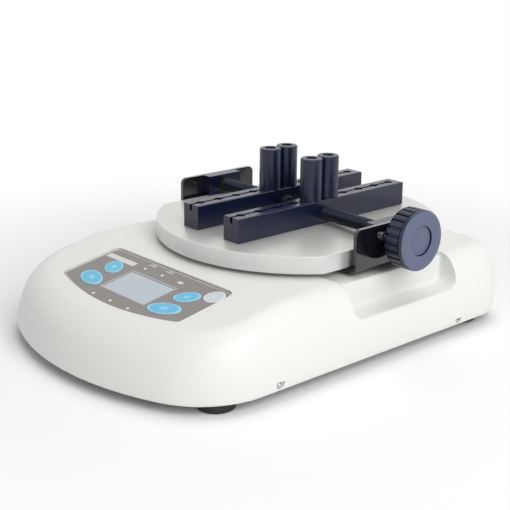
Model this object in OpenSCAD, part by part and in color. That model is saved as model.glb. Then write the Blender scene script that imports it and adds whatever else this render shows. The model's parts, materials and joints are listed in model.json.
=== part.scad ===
// Bench torque tester for caps and small fittings.
// A round table stands on a torque cell. Two jaw bars with grip posts close on the
// specimen when the side knob turns the left-and-right-hand screw.
// Frame: origin at the centre of the table's top face, +Z up, operator at -Y, knob at +X.

/* [Table] */
// Diameter of the round table
table_d = 186; // [180:1:196]
// Thickness of the table
table_t = 11; // [9:0.5:14]
// Distance between the table's two side flats
table_flat_w = 155; // [151:1:158]
// Gap between the table and the cover below it
table_gap = 2.5; // [2:0.1:4]

/* [Cover] */
// Width of the cover at its bottom edge
body_w = 205.5; // [202:0.5:212]
// Distance from the table's axis to the cover's front edge
body_front = 184; // [180:1:190]
// Distance from the table's axis to the cover's rear edge
body_rear = 100.5; // [99:0.5:106]
// Height of the cover
body_h = 46.3; // [45:0.1:52]
// Radius of the front edge in plan
front_arc_r = 182; // [170:1:200]
// Radius of the two front corners in plan
front_corner_r = 51; // [44:1:56]
// Radius of the two rear corners in plan
rear_corner_r = 29.5; // [24:0.5:34]
// How far the walls lean in from the bottom to the shoulder
wall_lean = 4.4; // [3:0.1:6]
// Angle by which the walls lean in where they meet the shoulder, in degrees
shoulder_start = 27; // [22:1:30]
// Radius of the shoulder along the sides and the rear
shoulder_r = 14.2; // [11:0.1:15]
// Radius of the shoulder at the front
front_shoulder_r = 20; // [15:0.5:22]
// Wall thickness of the cover
wall_t = 3.2; // [2.8:0.1:3.6]
// Distance from the table's axis to where the top starts to fall
slope_start = 93; // [90:1:96]
// Length over which the top turns into its slope
slope_blend = 14; // [8:1:18]
// Angle of the sloping top and its panel, in degrees
panel_tilt = 10.5; // [9:0.5:12]

/* [Side pockets] */
// Length of the side pockets along the body
pocket_l = 94; // [88:1:98]
// Distance from the table's axis to the pockets' middle, towards the front
pocket_mid = 3; // [0:0.5:5]
// Distance from the middle plane to the pockets' inner wall
pocket_x = 86.5; // [86:0.1:88]
// Height of the pocket floor above the cover's bottom edge
pocket_floor_h = 26.5; // [25:0.5:28]
// Radius of the pockets' lower corners
pocket_r = 7; // [4:0.5:9]
// Distance from the middle plane to the inner end of the shallow ledge
ledge_x = 60; // [54:1:61]
// Depth of the shallow ledge below the cover's top
ledge_depth = 3; // [2.8:0.1:4]

/* [Panel] */
// Distance from the table's axis to the panel's middle
panel_mid = 130; // [128:0.5:132]
// Width of the panel
panel_w = 116; // [114:1:118]
// Distance from the panel's middle to its rear edge
panel_back = 26.7; // [25:0.1:28]
// Distance from the panel's middle to its front corners
panel_side_front = 15; // [13:0.1:17]
// Distance from the panel's middle to the front of its curved edge
panel_nose = 25.3; // [25:0.1:26.5]
// Radius of the panel's rear corners
panel_corner_r = 5; // [3:0.5:7]
// Radius of the panel's front corners
panel_front_corner_r = 3; // [2:0.5:4]
// Depth of the overlay's face below the cover around it
panel_depth = 1.3; // [1:0.1:1.5]
// Thickness of the overlay
overlay_t = 0.8; // [0.6:0.1:0.9]
// Width of the display
display_w = 42.2; // [40:0.2:44]
// Height of the display
display_h = 22.8; // [21:0.2:24]
// Distance from the middle to the two columns of keys
key_col = 36.3; // [35.8:0.1:36.8]
// Distance from the middle to the two rows of keys
key_row = 8.35; // [8:0.05:8.7]
// Length of the front keys
front_key_l = 22.8; // [21:0.2:23]
// Width of the front keys
front_key_w = 12.4; // [11:0.2:12.6]
// Length of the rear keys
rear_key_l = 16.9; // [15:0.1:17.5]
// Width of the rear keys
rear_key_w = 11.8; // [10:0.2:12]
// Diameter of the power key
power_key_d = 13.2; // [12:0.2:13.4]
// Distance from the middle to the power key, sideways
power_key_x = 50.2; // [49.5:0.1:50.4]
// Distance from the middle to the power key, rearwards
power_key_y = 17.6; // [17:0.1:18]
// Room under a key for its travel
key_travel = 0.5; // [0.3:0.1:0.6]
// How far the keys stand proud of the overlay
key_proud = 0.5; // [0.5:0.1:0.8]
// Distance between the indicator lights of a row
light_pitch = 17.2; // [16:0.1:18]
// Distance from the panel's middle to the front row of lights
light_front = 20.2; // [19.8:0.1:20.6]
// Distance from the panel's middle to the rear row of lights
light_back = 18.2; // [17.8:0.1:18.6]
// Diameter of the indicator lights
light_d = 2; // [1.6:0.1:2.4]

/* [Jaws] */
// Width of a jaw bar
bar_w = 14; // [13.6:0.1:15]
// Height of a jaw bar
bar_h = 15.3; // [14.5:0.1:17]
// Distance from one post hole to the next
hole_pitch = 14.9; // [14.8:0.1:15.3]
// Number of post holes in a bar
hole_count = 10; // [8:2:10]
// Diameter of a post hole
hole_d = 5.4; // [5:0.1:5.4]
// Depth of a post hole
hole_depth = 9; // [8:0.5:10]
// Width of the slot along a bar's top
slot_w = 2.2; // [1.6:0.1:2.6]
// Depth of the slot along a bar's top
slot_depth = 3.8; // [3:0.1:4.2]
// Distance from the table's axis to the middle of a bar, as set
jaw_x = 19.5; // [18.5:0.5:22]
// Diameter of a post's rubber sleeve
post_d = 14.2; // [13.6:0.1:14.4]
// Height of a post above its bar
post_h = 27.4; // [24:0.2:34]
// Diameter of a post's metal core
core_d = 7.4; // [6.6:0.1:8.6]

/* [Screw drive] */
// Height of the screw's axis above the table
screw_z = 6.5; // [6.3:0.1:7]
// Outer diameter of the screw's thread
screw_d = 9; // [8.6:0.1:9]
// Depth of the thread
thread_depth = 0.9; // [0.5:0.1:1]
// Lead of the thread, per turn
thread_lead = 2; // [1.5:0.5:3]
// Diameter of the screw's journals
journal_d = 7; // [6.4:0.1:7.4]
// Diameter of the knob
knob_d = 37.4; // [34:0.2:38]
// Thickness of the knob's fluted rim
knob_t = 13.4; // [12:0.2:15]
// Distance from the middle plane to the knob's front face
knob_face_x = 107.3; // [106:0.1:110]
// Number of flutes round the knob
flute_count = 24; // [16:1:30]
// Width of a flute
flute_w = 1.2; // [0.8:0.1:1.6]
// Depth of a flute
flute_depth = 1; // [0.6:0.1:1.4]
// Width of the smooth rim at the knob's front
knob_rim = 2.6; // [2:0.1:4]
// Diameter of the knob's cap
cap_d = 18.4; // [16:0.2:20]

/* [End plates] */
// Distance from the middle plane to the plates' outer faces
plate_x = 84.2; // [84:0.1:84.4]
// Thickness of the plates
plate_t = 2.5; // [2:0.1:2.5]
// Width of the plates along the body
plate_w = 64.2; // [60:0.2:68]
// Height of the plates above the table
plate_h = 13.6; // [12.8:0.1:15]
// Radius of the plates' upper corners
plate_corner_r = 4; // [2:0.5:5]
// Length of the foot that runs under the table
plate_foot = 20; // [18:1:22]
// Thickness of the bearing blocks, along the screw
block_t = 7; // [6:0.1:7]
// Width of the bearing blocks
block_w = 28; // [26:0.5:30]

/* [Feet] */
// Height of the body's bottom edge above the surface it stands on
foot_clear = 6.2; // [5:0.1:9]
// Diameter of a foot
foot_d = 22; // [19:0.5:23]
// Distance from the body's sides to the feet's middles
foot_side_inset = 18.75; // [18.5:0.25:21]
// Distance from the middle of the front corners' arcs forwards to the front feet's middles
foot_corner_y = 17.055; // [15:0.005:17.1]
// Distance from the body's rear edge to the rear feet's middles
foot_rear_inset = 30; // [28:0.5:34]

/* [Hidden] */

// Colours, as the photograph shows them
cover_colour = [0.90, 0.90, 0.88];
steel_colour = [0.62, 0.63, 0.65];
dark_colour = [0.12, 0.13, 0.17];
rubber_colour = [0.07, 0.07, 0.08];
satin_colour = [0.80, 0.80, 0.79];
panel_colour = [0.50, 0.48, 0.47];
key_colour = [0.36, 0.72, 0.90];
power_colour = [0.80, 0.84, 0.87];
board_colour = [0.10, 0.38, 0.22];
glass_colour = [0.72, 0.76, 0.79];
brass_colour = [0.76, 0.60, 0.30];

// Smoothness of round shapes
$fn = 72;
// How far every cut runs past the face it opens
cut = 2;
// How far joined shapes of one solid run into each other
join = 0.6;
// Clearance round screws in the holes that they pass through
screw_fit = 0.3;
// Clearance of screws in the holes that hold them
thread_fit = 0.05;
// Radial clearance of shafts and post pins that run or slide
running_fit = 0.05;
// Gap between the jaw bars and the table
slide_gap = 0.2;
// Gap between a piece and the piece beside it
free_gap = 0.3;

// Screws: diameter, diameter of the head and height of the head
m3 = [3, 5.4, 1.9];
m4 = [4, 7.4, 2.2];
m5 = [5, 8.4, 4];
driver_share = 0.45;
driver_depth_share = 0.5;
hex_sides = 6;

// Levels, from the table's top face down
cover_top_z = -(table_t + table_gap);
cover_bottom_z = cover_top_z - body_h;
floor_z = cover_bottom_z - foot_clear;
half_w = body_w / 2;
// Room beyond the bottom edge that the bowed walls stay within
bow_room = body_h * tan(shoulder_start) / 4 + cut;

// Steps of the cover's mesh: round the front, the two corners and the blend of the slope
outline_segs = [10, 9, 6];
blend_segs = 4;
wall_steps = 5;
shoulder_steps = 5;
// Steps of the flat outlines
flat_segs = [12, 4, 5];

// Base plate, inside the cover's lower edge
base_t = 2;
base_rise = 1;
base_fit = 0.4;
base_bottom_z = cover_bottom_z + base_rise;
base_top_z = base_bottom_z + base_t;
base_inset = wall_t + base_fit;
base_edge_x = half_w - base_inset;
base_edge_y = body_rear - base_inset;
tab_w = 14;
tab_h = 9;
rear_tab_w = 84;
rear_tab_h = 21.5;

// Cover screws on the two sides
cover_screw_rows = [-110, 45];
cover_screw_z = base_top_z + m3[0] / 2 + free_gap + free_gap;
cover_boss_d = 8;
cover_seat_depth = 1.2;
cover_screw_l = 7;

// Feet
foot_edge_r = 1.6;
foot_h = base_bottom_z - floor_z;
foot_bore_d = 9;
foot_bore_h = 3;
nut_d = 8;
nut_h = 3;
nut_stud = 0.8;
foot_x = half_w - foot_side_inset;
corner_x = half_w - front_corner_r;
corner_y = front_arc_r - body_front - sqrt(pow(front_arc_r - front_corner_r, 2) - pow(corner_x, 2));
foot_front_y = corner_y - foot_corner_y;
foot_rear_y = body_rear - foot_rear_inset;
foot_places = [
    [-foot_x, foot_front_y], [foot_x, foot_front_y], [-foot_x, foot_rear_y], [foot_x, foot_rear_y]
];

// Torque cell and what stands above and below it
hub_d = 56;
hub_h = 8;
hub_clear = 3;
cell_flange_h = 6;
cell_mid_h = 14;
cell_mid_w = 20;
cell_lower_d = 60;
cell_upper_d = 50;
pedestal_w = 64;
pedestal_r = 4;
pedestal_screw_x = 26;
pedestal_screw_l = 9;
cell_screw_r = 25;
cell_screw_l = 15;
hub_screw_r = 18;
hub_screw_l = 20;
hub_bottom_z = -table_t - hub_h;
cell_bottom_z = hub_bottom_z - 2 * cell_flange_h - cell_mid_h;
cell_mid_z = cell_bottom_z + cell_flange_h + cell_mid_h / 2;
gauge_size = [8, 0.4, 6];
table_edge = 0.6;

// Panel, with its levels down from the overlay's face
slope = tan(panel_tilt);
panel_z = cover_top_z - slope * (panel_mid - slope_start) - panel_depth / cos(panel_tilt);
panel_sag = panel_nose - panel_side_front;
panel_arc_r = (pow(panel_w / 2, 2) + pow(panel_sag, 2)) / (2 * panel_sag);
cover_under = wall_t - panel_depth;
under_gap = 0.2;
board_level = 7.5;
board_t = 1.6;
overlay_fit = 0.15;
key_fit = 0.25;
key_flange = 0.65;
key_flange_t = 1;
key_rest = 0.15;
key_step = 0.5;
key_step_h = 0.2;
key_segs = 60;
key_stem_d = 3;
front_key_a = 16.3;
rear_key_a = 35.4;
switch_w = 6;
switch_h = 2;
switch_button_h = 0.5;
lcd_rim = 2.2;
lcd_rim_tall = 3.8;
board_w = 114;
board_back = 22;
board_front = 23;
boss_d = 5.6;
boss_hole = 4.4;
board_screw_l = 5.2;
light_base_d = 3;
light_base_h = 2.4;
boss_places = [[-53, -14], [53, -14], [-53, 2], [53, 2]];
light_places = [
    [-light_pitch, -light_front], [0, -light_front], [light_pitch, -light_front],
    [-light_pitch, light_back], [0, light_back]
];
// Each key: place, length, width and turn
keys = [
    [[-key_col, -key_row], front_key_l, front_key_w, -front_key_a],
    [[key_col, -key_row], front_key_l, front_key_w, front_key_a],
    [[-key_col, key_row], rear_key_l, rear_key_w, -rear_key_a],
    [[key_col, key_row], rear_key_l, rear_key_w, rear_key_a],
    [[power_key_x, power_key_y], power_key_d, power_key_d, 0]
];

// Main board and connectors, along the rear, with the display's cable beside the pedestal
cable_w = 12;
cable_side = 3;
cable_plug = [14, 6, 2.4];
cable_x = pedestal_w / 2 + cable_side + cable_w / 2;
main_board_l = 38;
main_board_gap = 3;
spacer_h = 5;
spacer_d = 6;
spacer_edge = 4;
spacer_hole = 4.5;
main_screw_l = 5.6;
main_board_w = 2 * (cable_x + cable_plug[0] / 2 + free_gap + m3[1] / 2 + spacer_edge);
main_back_y = base_edge_y - base_t - main_board_gap;
main_front_y = main_back_y - main_board_l;
main_board_z = base_top_z + spacer_h;
main_top_z = main_board_z + board_t;
spacer_places = [
    for (x = [-1, 1])
        for (y = [main_front_y + spacer_edge, main_back_y - spacer_edge])
            [x * (main_board_w / 2 - spacer_edge), y]
];
port_open_w = 70;
port_open_h = 15;
port_frame = 2.4;
jack_share = -0.2;
jack_x = jack_share * main_board_w;
jack_size = [9, 14, 11];
jack_nose_d = 8;
jack_nose_l = 2.6;
jack_bore_d = 6.2;
jack_bore_l = 9;
jack_pin_d = 2;
jack_back = 1.5;
data_x = 14;
data_size = [30.8, 8, 12.4];
data_shell = [17, 8.4];
data_shell_l = 5.5;
data_pin_d = 1.2;
data_pin_pitch = 2.8;
data_pin_depth = 4;
port_z = main_top_z + jack_size[2] / 2;
port_fit = 0.3;
// Chips and other parts of the main board: places and sizes as shares of the board,
// heights as shares of the jack's height
chip_shares = [
    [-0.20, 0.42, 0.15, 0.38, 0.20], [0.02, 0.40, 0.09, 0.20, 0.25],
    [0.16, 0.30, 0.06, 0.30, 0.30], [-0.38, 0.45, 0.10, 0.26, 0.50]
];
can_shares = [[-0.30, 0.72], [-0.38, 0.72], [0.24, 0.62]];
can_d = 6.3;
can_h = 8;
lead_plug = [9, 7, 5];
lead_plug_y = main_front_y + lead_plug[1];

// Wiring
lead_d = 3;
lead_drop = 4;
cable_t = 0.8;
cable_front = 116.5;
cable_top_z = panel_z + slope * (panel_mid - cable_front) - (board_level + board_t) / cos(panel_tilt)
    - 2 * free_gap;
cable_back_y = main_front_y - free_gap;

// Battery
cell_count = 5;
aa_d = 14.4;
aa_l = 49.5;
aa_nub_d = 5.4;
aa_nub_h = 1;
aa_pitch = 14.8;
tray_wall = 1.6;
tray_h = 10;
tray_rear = 36;
tray_l = cell_count * aa_pitch + 2 * tray_wall + free_gap;
tray_w = aa_l + aa_nub_h + 2 * tray_wall + 2 * free_gap;
tray_mid_y = -tray_rear - tray_l / 2;

// End plates and bearing blocks
bend_in = 0.5;
plate_in_x = plate_x - plate_t;
block_in_x = plate_in_x - block_t;
plate_low_z = cover_top_z;
foot_hole_inset = 5.5;
foot_hole_x = plate_x - plate_foot + foot_hole_inset;
foot_hole_y = 20;
foot_screw_l = 5;
block_screw_y = 9.4;
block_screw_l = 8;
bush_d = 11;

// Screw and knob
bearing_gap = 0.3;
screw_end_x = block_in_x - bearing_gap;
screw_mid = 16;
screw_shoulder = 1.4;
thread_crest_share = 0.35;
collar_d = 12;
collar_w = 4;
knob_back_x = knob_face_x - knob_t;
knob_hub_d = 12;
knob_edge = 1.2;
knob_groove = 0.5;
cap_recess = 1;
cap_t = 2;
cap_fit = 0.1;
shaft_in_knob = 8;
grub_d = 3;
grub_l = 2.3;
grub_x = (plate_x + knob_back_x) / 2;
edge_steps = 5;

// Jaws and posts
bar_l = hole_pitch * hole_count;
bar_bottom_z = slide_gap;
bar_top_z = bar_bottom_z + bar_h;
bar_edge = 0.5;
pin_short = 0.5;
post_edge = 0.6;
core_recess = 0.8;

// Point of an arc and the direction that faces outwards there
function around(c, r, a) = [c + r * [cos(a), sin(a)], [cos(a), sin(a)]];

// Half an outline, from the middle of its front to the rear, as points with directions
function half_outline(hw, front, rear, front_r, corner_r, rear_r, side_ys, segs) =
    let (fc_y = front_r - front, cc_x = hw - corner_r)
    let (cc_y = fc_y - sqrt(pow(front_r - corner_r, 2) - pow(cc_x, 2)))
    let (turn = atan2(cc_y - fc_y, cc_x))
    concat(
        [for (i = [0:segs[0]]) around([0, fc_y], front_r, -90 + (90 + turn) * i / segs[0])],
        [for (i = [1:segs[1]]) around([cc_x, cc_y], corner_r, turn * (1 - i / segs[1]))],
        [for (y = side_ys) [[hw, y], [1, 0]]],
        [for (i = [0:segs[2]]) around([hw - rear_r, rear - rear_r], rear_r, 90 * i / segs[2])]
    );

// Whole outline from half of it, grown all round
function ring_of(half, grow) =
    let (right = [for (p = half) p[0] + grow * p[1]])
    concat(right, [for (i = [len(right) - 1:-1:1]) [-right[i][0], right[i][1]]]);

// Height of the cover's top face at y
function top_z(y) =
    let (u = -y - slope_start, b = slope_blend / 2)
    cover_top_z - slope * (u < -b ? 0 : (u > b ? u : pow(u + b, 2) / (4 * b)));

// Shoulder radius where the wall faces along n
function shoulder_at(n) = shoulder_r + (front_shoulder_r - shoulder_r) * max(0, -n[1]);

// Point of the cover's surface over outline point p at step s, moved inwards by a wall
function shell_point(p, s, wall) =
    let (k = min(1, s / wall_steps), outer_r = shoulder_at(p[1]), r = outer_r - wall)
    let (turn = shoulder_start + (90 - shoulder_start) * max(0, s - wall_steps) / shoulder_steps)
    let (rise = top_z(p[0][1]) - outer_r * (1 - sin(shoulder_start)) - cover_bottom_z)
    let (bow = (rise * tan(shoulder_start) - wall_lean) * k * (1 - k))
    let (inset = wall + wall_lean * k - bow + r * (cos(shoulder_start) - cos(turn)))
    let (at = p[0] - inset * p[1], low = cover_bottom_z - (wall > 0 ? cut : 0))
    let (top = top_z(at[1]) - wall, high = top - r * (1 - sin(turn)))
    [at[0], at[1], low + k * (high - low)];

cover_outline = half_outline(
    half_w, body_front, body_rear, front_arc_r, front_corner_r, rear_corner_r,
    [for (i = [0:blend_segs]) -slope_start - slope_blend / 2 + slope_blend * i / blend_segs],
    outline_segs
);
panel_outline = half_outline(
    panel_w / 2, panel_nose, panel_back, panel_arc_r, panel_front_corner_r, panel_corner_r,
    [], flat_segs
);

// Solid under the cover's surface, moved inwards by a wall
module shell(wall) {
    m = len(cover_outline) - 1;
    n = 2 * m + 1;
    steps = wall_steps + shoulder_steps;
    top = steps * n;
    points = [
        for (s = [0:steps])
            for (i = [0:n - 1])
                let (p = shell_point(cover_outline[i <= m ? i : n - i], s, wall))
                [i <= m ? p[0] : -p[0], p[1], p[2]]
    ];
    sides = [
        for (s = [0:steps - 1])
            for (i = [0:n - 1])
                let (a = s * n + i, b = s * n + (i + 1) % n)
                each [[a, a + n, b + n], [a, b + n, b]]
    ];
    cap = [for (i = [1:m - 1]) [top + n - i, top + n - i - 1, top + i + 1, top + i]];
    bottom = [for (i = [0:n - 1]) i];
    polyhedron(points, concat([bottom, [top + n - 1, top + 1, top]], sides, cap));
}

// Both sides of the body
module both_sides() {
    children();
    mirror([1, 0, 0]) children();
}

// Pocket from x outwards, with rounded lower corners, grown by a wall
module side_pocket(x, grow) {
    w = pocket_l + 2 * grow;
    r = pocket_r + grow;
    h = body_h - pocket_floor_h + grow + cut;
    translate([x, -pocket_mid, cover_bottom_z + pocket_floor_h - grow])
        rotate([90, 0, 90])
            linear_extrude(half_w + bow_room - x) {
                translate([-w / 2, r]) square([w, h - r]);
                translate([-w / 2 + r, 0]) square([w - 2 * r, r + join]);
                for (side = [-1, 1]) translate([side * (w / 2 - r), r]) circle(r);
            }
}

// Shallow ledge under the end plates' feet
module ledge(grow) {
    w = pocket_l + 2 * grow;
    translate([ledge_x - grow, -pocket_mid - w / 2, cover_top_z - ledge_depth - grow])
        cube([pocket_x - ledge_x + grow + join, w, ledge_depth + grow + cut]);
}

module on_panel() {
    translate([0, -panel_mid, panel_z]) rotate([panel_tilt, 0, 0]) children();
}

module on_screw() {
    translate([0, 0, screw_z]) rotate([0, 90, 0]) children();
}

module key_shape(k, grow) {
    a = k[1] / 2 + grow;
    b = k[2] / 2 + grow;
    points = [for (i = [0:key_segs - 1]) let (t = 360 * i / key_segs) [a * cos(t), b * sin(t)]];
    translate(k[0]) rotate(k[3]) polygon(points);
}

module rounded_rect(w, l, r) {
    translate([-w / 2, -l / 2 + r]) square([w, l - 2 * r]);
    translate([-w / 2 + r, -l / 2]) square([w - 2 * r, l]);
    for (x = [-1, 1]) for (y = [-1, 1]) translate([x * (w / 2 - r), y * (l / 2 - r)]) circle(r);
}

// Screw with a round head above z = 0 and its shaft below
module pan_screw(size, l) {
    difference() {
        union() {
            cylinder(d = size[1], h = size[2]);
            translate([0, 0, -l]) cylinder(d = size[0], h = l + join);
        }
        translate([0, 0, size[2] * (1 - driver_depth_share)])
            cylinder(d = size[1] * driver_share, h = size[2], $fn = hex_sides);
    }
}

// Screw with a cone head above z = 0 and its shaft below
module flat_screw(size, l) {
    difference() {
        union() {
            cylinder(d1 = size[0], d2 = size[1], h = size[2]);
            translate([0, 0, -l]) cylinder(d = size[0], h = l + join);
        }
        translate([0, 0, size[2] * (1 - driver_depth_share)])
            cylinder(d = size[1] * driver_share, h = size[2], $fn = hex_sides);
    }
}

module cover_screw_spots() {
    for (y = cover_screw_rows)
        translate([half_w - cover_seat_depth, y, cover_screw_z]) rotate([0, 90, 0]) children();
}

module cover() {
    seat_x = half_w - cover_seat_depth;
    boss_l = seat_x - base_edge_x - free_gap;
    frame_y = base_edge_y + free_gap;
    color(cover_colour) difference() {
        union() {
            difference() {
                shell(0);
                difference() {
                    shell(wall_t);
                    both_sides() side_pocket(pocket_x - wall_t, wall_t);
                    both_sides() ledge(wall_t);
                }
            }
            on_panel() for (p = boss_places)
                translate([p[0], p[1], -board_level])
                    cylinder(d = boss_d, h = board_level - cover_under + join);
            both_sides() cover_screw_spots()
                translate([0, 0, -boss_l]) cylinder(d = cover_boss_d, h = boss_l);
            translate([-port_open_w / 2 - port_frame, frame_y, port_z - port_open_h / 2 - port_frame])
                cube([
                    port_open_w + 2 * port_frame,
                    body_rear - wall_t / 2 - frame_y,
                    port_open_h + 2 * port_frame
                ]);
        }
        both_sides() side_pocket(pocket_x, 0);
        both_sides() ledge(0);
        both_sides() cover_screw_spots() {
            cylinder(d = m3[1] + 2 * screw_fit, h = bow_room);
            translate([0, 0, -boss_l - cut])
                cylinder(d = m3[0] + 2 * screw_fit, h = boss_l + 2 * cut);
        }
        translate([0, 0, cover_top_z - wall_t - cut])
            cylinder(r = hub_d / 2 + hub_clear, h = wall_t + 2 * cut);
        on_panel() {
            translate([0, 0, -overlay_t])
                linear_extrude(overlay_t + panel_depth + cut)
                    polygon(ring_of(panel_outline, overlay_fit));
            translate([0, 0, -cover_under - cut]) linear_extrude(cover_under + cut) {
                square([display_w + 2 * overlay_fit, display_h + 2 * overlay_fit], center = true);
                for (k = keys) key_shape(k, key_fit);
                for (p = light_places) translate(p) circle(d = light_d + 2 * overlay_fit);
            }
            for (p = boss_places)
                translate([p[0], p[1], -board_level - cut])
                    cylinder(d = m3[0] + 2 * thread_fit, h = boss_hole + cut);
        }
        translate([-port_open_w / 2, base_edge_y, port_z - port_open_h / 2])
            cube([port_open_w, body_rear + bow_room - base_edge_y, port_open_h]);
    }
}

module base_plate() {
    color(steel_colour) difference() {
        union() {
            translate([0, 0, base_bottom_z]) linear_extrude(base_t)
                polygon(ring_of(cover_outline, -base_inset));
            both_sides() for (y = cover_screw_rows)
                translate([base_edge_x - base_t, y - tab_w / 2, base_bottom_z])
                    cube([base_t, tab_w, tab_h]);
            translate([-rear_tab_w / 2, base_edge_y - base_t, base_bottom_z])
                cube([rear_tab_w, base_t, rear_tab_h]);
            for (p = spacer_places)
                translate([p[0], p[1], base_top_z - join]) cylinder(d = spacer_d, h = spacer_h + join);
        }
        both_sides() cover_screw_spots()
            translate([0, 0, -cover_screw_l - cut])
                cylinder(d = m3[0] + 2 * thread_fit, h = cover_screw_l + cut);
        for (p = foot_places)
            translate([p[0], p[1], base_bottom_z - cut])
                cylinder(d = m4[0] + 2 * screw_fit, h = base_t + 2 * cut);
        for (x = [-1, 1]) for (y = [-1, 1])
            translate([x * pedestal_screw_x, y * pedestal_screw_x, base_bottom_z - cut])
                cylinder(d = m4[0] + 2 * screw_fit, h = base_t + 2 * cut);
        for (p = spacer_places)
            translate([p[0], p[1], main_board_z - spacer_hole])
                cylinder(d = m3[0] + 2 * thread_fit, h = spacer_hole + cut);
        translate([jack_x, base_edge_y - base_t - cut, port_z]) rotate([-90, 0, 0])
            cylinder(d = jack_nose_d + 2 * port_fit, h = base_t + 2 * cut);
        translate([data_x, base_edge_y - base_t / 2, port_z])
            cube(
                [data_shell[0] + 2 * port_fit, base_t + 2 * cut, data_shell[1] + 2 * port_fit],
                center = true
            );
    }
}

module cover_screws() {
    color(steel_colour) both_sides() cover_screw_spots() pan_screw(m3, cover_screw_l);
}

module foot(p) {
    edge = [
        for (i = [0:edge_steps])
            let (a = -90 + 90 * i / edge_steps)
            [foot_d / 2 - foot_edge_r + foot_edge_r * cos(a), foot_edge_r + foot_edge_r * sin(a)]
    ];
    color(rubber_colour) translate([p[0], p[1], floor_z]) difference() {
        rotate_extrude() polygon(concat([[0, 0]], edge, [[foot_d / 2, foot_h], [0, foot_h]]));
        translate([0, 0, -cut]) cylinder(d = foot_bore_d, h = foot_bore_h + cut);
        cylinder(d = m4[0] + 2 * screw_fit, h = foot_h + cut);
    }
}

module foot_screws() {
    seat_z = floor_z + foot_bore_h;
    color(steel_colour) for (p = foot_places) translate([p[0], p[1], 0]) {
        translate([0, 0, seat_z]) rotate([180, 0, 0])
            pan_screw(m4, base_top_z + nut_h + nut_stud - seat_z);
        translate([0, 0, base_top_z]) cylinder(d = nut_d, h = nut_h, $fn = hex_sides);
    }
}

module panel_overlay() {
    color(panel_colour) on_panel() difference() {
        translate([0, 0, -overlay_t]) linear_extrude(overlay_t)
            polygon(ring_of(panel_outline, 0));
        translate([0, 0, -overlay_t - cut]) linear_extrude(overlay_t + 2 * cut) {
            square([display_w + 2 * overlay_fit, display_h + 2 * overlay_fit], center = true);
            for (k = keys) key_shape(k, key_fit);
            for (p = light_places) translate(p) circle(d = light_d + 2 * overlay_fit);
        }
    }
}

module display_window() {
    color(glass_colour) on_panel() translate([0, 0, -cover_under])
        linear_extrude(cover_under - free_gap) square([display_w, display_h], center = true);
}

module indicator_lights() {
    color([0.95, 0.95, 0.92]) on_panel() for (p = light_places)
        translate([p[0], p[1], -board_level]) {
            cylinder(d = light_d, h = board_level);
            cylinder(d = light_base_d, h = light_base_h);
        }
}

module lcd_module() {
    w = display_w + 2 * lcd_rim;
    l = display_h + 2 * lcd_rim_tall;
    color([0.42, 0.47, 0.45]) on_panel()
        translate([-w / 2, -l / 2, -board_level])
            cube([w, l, board_level - cover_under - under_gap]);
}

module display_board() {
    color(board_colour) on_panel() difference() {
        translate([-board_w / 2, -board_front, -board_level - board_t])
            cube([board_w, board_front + board_back, board_t]);
        for (p = boss_places)
            translate([p[0], p[1], -board_level - board_t - cut])
                cylinder(d = m3[0] + 2 * screw_fit, h = board_t + 2 * cut);
    }
}

module display_board_screws() {
    color(steel_colour) on_panel() for (p = boss_places)
        translate([p[0], p[1], -board_level - board_t]) rotate([180, 0, 0])
            pan_screw(m3, board_screw_l);
}

module key_switches() {
    color([0.15, 0.15, 0.16]) on_panel() for (k = keys)
        translate([k[0][0], k[0][1], -board_level]) {
            translate([-switch_w / 2, -switch_w / 2, 0]) cube([switch_w, switch_w, switch_h]);
            cylinder(d = key_stem_d, h = switch_h + switch_button_h);
        }
}

// Key with a flange under the cover and a stem over its switch
module key(k, tint) {
    flange_z = -cover_under - free_gap - key_flange_t;
    stem_z = -board_level + switch_h + switch_button_h + key_travel + key_rest;
    color(tint) on_panel() {
        translate([0, 0, flange_z + key_flange_t - join])
            linear_extrude(key_proud - key_step_h - flange_z - key_flange_t + join) key_shape(k, 0);
        translate([0, 0, key_proud - key_step_h - join])
            linear_extrude(key_step_h + join) key_shape(k, -key_step);
        translate([0, 0, flange_z]) linear_extrude(key_flange_t) key_shape(k, key_flange);
        translate([k[0][0], k[0][1], stem_z]) cylinder(d = key_stem_d, h = flange_z - stem_z + join);
    }
}

module main_board() {
    color(board_colour) difference() {
        translate([-main_board_w / 2, main_front_y, main_board_z])
            cube([main_board_w, main_board_l, board_t]);
        for (p = spacer_places)
            translate([p[0], p[1], main_board_z - cut])
                cylinder(d = m3[0] + 2 * screw_fit, h = board_t + 2 * cut);
    }
}

module main_board_parts() {
    color([0.13, 0.13, 0.14]) {
        for (c = chip_shares)
            translate([c[0] * main_board_w, main_front_y + c[1] * main_board_l, main_top_z])
                linear_extrude(c[4] * jack_size[2])
                    square([c[2] * main_board_w, c[3] * main_board_l], center = true);
        for (c = can_shares)
            translate([c[0] * main_board_w, main_front_y + c[1] * main_board_l, main_top_z])
                cylinder(d = can_d, h = can_h);
        translate([-lead_plug[0] / 2, lead_plug_y - lead_plug[1] / 2, main_top_z]) cube(lead_plug);
        translate([cable_x - cable_plug[0] / 2, main_front_y, main_top_z]) cube(cable_plug);
    }
}

module main_board_screws() {
    color(steel_colour) for (p = spacer_places)
        translate([p[0], p[1], main_top_z]) pan_screw(m3, main_screw_l);
}

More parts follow.
